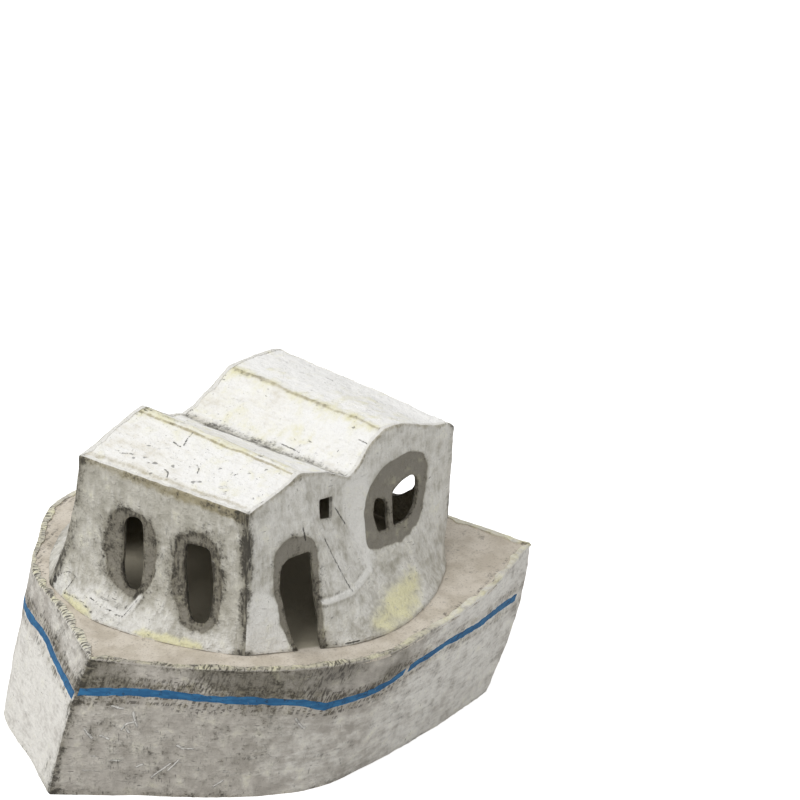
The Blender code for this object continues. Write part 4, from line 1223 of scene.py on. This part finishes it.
# %% Relief of the walls
def wall_relief(name, flat):
    """Extra height on a wall: bare bands lie lower, pasted folds stand up, and the aft block steps out to port."""
    lift = -BAND_DEPTH * covered(flat, BANDS[name], BAND_SOFT)
    if name in RAISED:
        lift = lift + RAISED_HEIGHT * near(trail_distance(flat, RAISED[name])[0], 0.0016)
    if name == "port":
        x, height = flat[..., 0], flat[..., 1]
        step = held((x - 0.018) / 0.021) * held((height - 0.02) / 0.025)
        lift = lift + STEP_HEIGHT * (step * step * (3 - 2 * step) - 1)
    return lift


print("bare bands", BAND_DEPTH, "m deep, pasted folds", RAISED_HEIGHT, "m high, step", STEP_HEIGHT, "m")

# %% [markdown]
# Now each wall is taken out of the ring, given its relief, cut open and turned into a sheet. The relief fades
# out towards the wall's ends, so that neighbours still meet at the corner.

# %% Walls
FADE_COLUMNS = 8.0
for name in WALLS:
    start = cabin_first[name]
    stop = start + WALLS[name][3] - 1
    columns = np.arange(start, stop + 1) % cabin.shape[1]
    axis = ALONG_WALL[name]
    outer, normals = cabin_outer[:, columns], cabin_normals[:, columns]
    flat = laid_flat(outer, axis)
    fade = np.minimum(np.arange(len(columns)), len(columns) - 1 - np.arange(len(columns)))
    fade = held(fade / FADE_COLUMNS)[None] * held((flat[..., 1] - 0.001) / 0.004)
    lift = wall_relief(name, flat) * fade
    lift = np.where(np.arange(len(outer))[:, None] > WALL_ROWS, 0.0, lift)
    outer = outer + normals * lift[..., None]
    normals = np.where(fade[..., None] > 0, grid_normals(outer), normals)
    outer, keep, distance = cut_windows(outer, normals, axis, OPENINGS[name])
    along = walked(cabin[WALL_ROWS, columns])[None] + np.zeros(distance.shape)
    marks = wall_amounts(name, outer, laid_flat(outer, axis), distance, along)
    sheet_piece("papered_" + name + "_wall", "cabin_" + name + "_wall", outer, outer - normals * CARD,
                normals, marks, cabin_paint, keep)

# %% [markdown]
# Two folded sheets cover the cabin, one over each gable, and meet in the valley. The folds are soft, because the
# card was scored and then papered over. Both are first drawn as one grid, whose columns follow the fold lines.

# %% Roof sheet
ROOF_ROWS = 160
ROOF_STEPS = (150, 160)
ROOF_INSET = 0.0022
FOLD_REACH = 2.0
LAST_FOLD = len(PORT_FOLDS) - 1


def roof_grid():
    """Both roofs as one grid: rows from port to starboard, and columns at fractions of the folds' numbers.

    A point's x and height are its place between two folds, mixed by the share across. Along each row the first
    and the last fold are drawn in to where the end walls stand, and the columns next to them follow.
    """
    share = np.linspace(0, 1, ROOF_ROWS)[:, None]
    fold_at = np.concatenate((np.linspace(0, VALLEY_FOLD, ROOF_STEPS[0])[:-1],
                              np.linspace(VALLEY_FOLD, LAST_FOLD, ROOF_STEPS[1])))
    folds = np.arange(LAST_FOLD + 1)
    fold_x = PORT_FOLDS[:, 0] + (STARBOARD_FOLDS[:, 0] - PORT_FOLDS[:, 0]) * share
    ends = []
    for port, starboard, inset in ((FRONT_PORT, FRONT_STARBOARD, ROOF_INSET), (AFT_PORT, AFT_STARBOARD, -ROOF_INSET)):
        limit = port[0] + (starboard[0] - port[0]) * share[:, 0] + inset
        ends.append(np.array([np.interp(x, xs, folds) for x, xs in zip(limit, fold_x)])[:, None])
    at = fold_at + ends[0] * held(1 - fold_at)
    at = at - (LAST_FOLD - ends[1]) * held(1 - (LAST_FOLD - fold_at) / 2)
    x, z = (np.interp(at, folds, PORT_FOLDS[:, k]) * (1 - share) + np.interp(at, folds, STARBOARD_FOLDS[:, k]) * share
            for k in (0, 1))
    low, high = roof_edge(x, FRONT_PORT, AFT_PORT, -1), roof_edge(x, FRONT_STARBOARD, AFT_STARBOARD, 1)
    y = low + ROOF_INSET + (high - low - 2 * ROOF_INSET) * share
    grid = soften(np.stack((x, y, z + HULL_HEIGHT), axis=-1), FOLD_REACH, 1, False)
    return grid, share, fold_at, np.minimum(share, 1 - share) * (high - low)


roof, share, fold_at, from_side = roof_grid()
walk = walked(roof.mean(axis=0))[None] + np.zeros(from_side.shape)
fold_walk = np.interp(np.arange(LAST_FOLD + 1), fold_at, walk[0])
print("roof sheet", roof.shape, "walk over both gables", fold_walk[-1].round(4), "m")

# %% [markdown]
# On the roofs the white paint is thickest. It is worn through on the ridges, grey in the valley, and a strip of
# tape covers the lower ridge. A few dark strokes were scored into the front sheet.

# %% Roof finish
ROOF_DROP = 0.0005
LOW_RIDGE, HIGH_RIDGE = 2, 7
TAPE_HALF, TAPE_SLOPE, TAPE_HEIGHT = 0.0046, 0.0008, 0.0004
ROOF_STROKES = metres((((7.7, 36.8), (3.6, 35.4), (0.4, 34.8)), ((-0.3, 36.8), (2.2, 43.1), (3.2, 48.6)),
    ((-19.8, 25.6), (-23.8, 22.6), (-25.5, 18.9)), ((-45.4, 27.1), (-47, 29.9)), ((-6.5, 12.1), (-10.5, 10.6),
    (-13, 6.2)), ((45.2, 50.7), (42, 50.7)), ((28.3, 12.9), (18.9, 15.9)), ((3.3, 184.3), (-2.6, 184.3)),
    ((-21.7, 106.5), (-38.3, 104.7)), ((-71.4, 129), (-80.6, 128.3))))


def roof_amounts():
    """Amounts on the roofs: tan tape on the ridges and the front eave, and darker grey in the valley and the corners.
    """
    broad, finer = lattice_noise(roof, 0.028, 51), lattice_noise(roof, 0.009, 52)
    wobble = walk + 0.0008 * lattice_noise(roof, 0.012, 53)
    low_ridge, valley, high_ridge = (wobble - fold_walk[fold] for fold in (LOW_RIDGE, VALLEY_FOLD, HIGH_RIDGE))
    eave = wobble - fold_walk[0]
    aft_edge = fold_walk[-1] - wobble
    tape = near(abs(low_ridge) - 0.0042, 0.0012) + 0.8 * near(high_ridge, 0.0022) + 0.7 * near(eave - 0.004, 0.0028)
    corner = near(from_side, 0.006) * (near(eave, 0.008) + near(low_ridge, 0.008) + 0.6 * near(aft_edge, 0.01)
                                       + near(high_ridge, 0.008) * (share < 0.5))
    grime_and_shade = -0.09 + 0.18 * broad + 0.14 * finer + 0.62 * near(valley + 0.002, 0.0055) + 0.36 * near(low_ridge, 0.0014)
    grime_and_shade = grime_and_shade + 0.26 * near(high_ridge, 0.0035) + (0.22 - 0.14 * share) * near(from_side, 0.003) + 0.4 * corner
    grime_and_shade = grime_and_shade + 0.22 * near(abs(low_ridge) - 0.0042, 0.0009) + 0.25 * near(eave, 0.003)
    yellow = 0.45 * near(high_ridge, 0.006) + 0.35 * near(low_ridge, 0.008) + 0.2 * broad + 0.1
    paint = 0.78 + 0.3 * broad + 0.12 * finer - 0.25 * near(valley, 0.005) - 0.2 * tape
    paint = paint + 0.35 * (fold_at > HIGH_RIDGE)[None] + 0.2 * (1 - share)
    paint = paint - 0.22 * near(valley - 0.018, 0.012) * (1 - near(share - 0.22, 0.2))
    nicks = 0.4 + 0.4 * finer + 0.25 * (fold_at < VALLEY_FOLD)[None]
    scored = 0.85 * strokes(np.stack((roof[..., 1], walk), axis=-1), ROOF_STROKES, CRACK_WIDTH)
    return {"along": roof[..., 1], "across": walk, "crack_shadow": scored, "paint": paint, "grime_and_shade": grime_and_shade,
            "tan": 0.75 * tape, "yellow": yellow, "nicks": nicks, "print": -0.2 + 0.2 * finer}


tape_step = held((TAPE_HALF - abs(walk - fold_walk[LOW_RIDGE])) / TAPE_SLOPE) * TAPE_HEIGHT
roof_normals = grid_normals(roof)
roof_outer = roof + roof_normals * (paper_lie(roof) - ROOF_DROP + tape_step)[..., None]
roof_normals = grid_normals(roof_outer)
roof_marks = roof_amounts()
split = ROOF_STEPS[0] - 1
for name, columns in (("front_roof", slice(0, split + 1)), ("rear_roof", slice(split, None))):
    outer, normals = roof_outer[:, columns], roof_normals[:, columns]
    marks = {mark: values[:, columns] for mark, values in roof_marks.items()}
    sheet_piece("papered_" + name, name, outer, outer - normals * CARD, normals, marks, roof_paint)
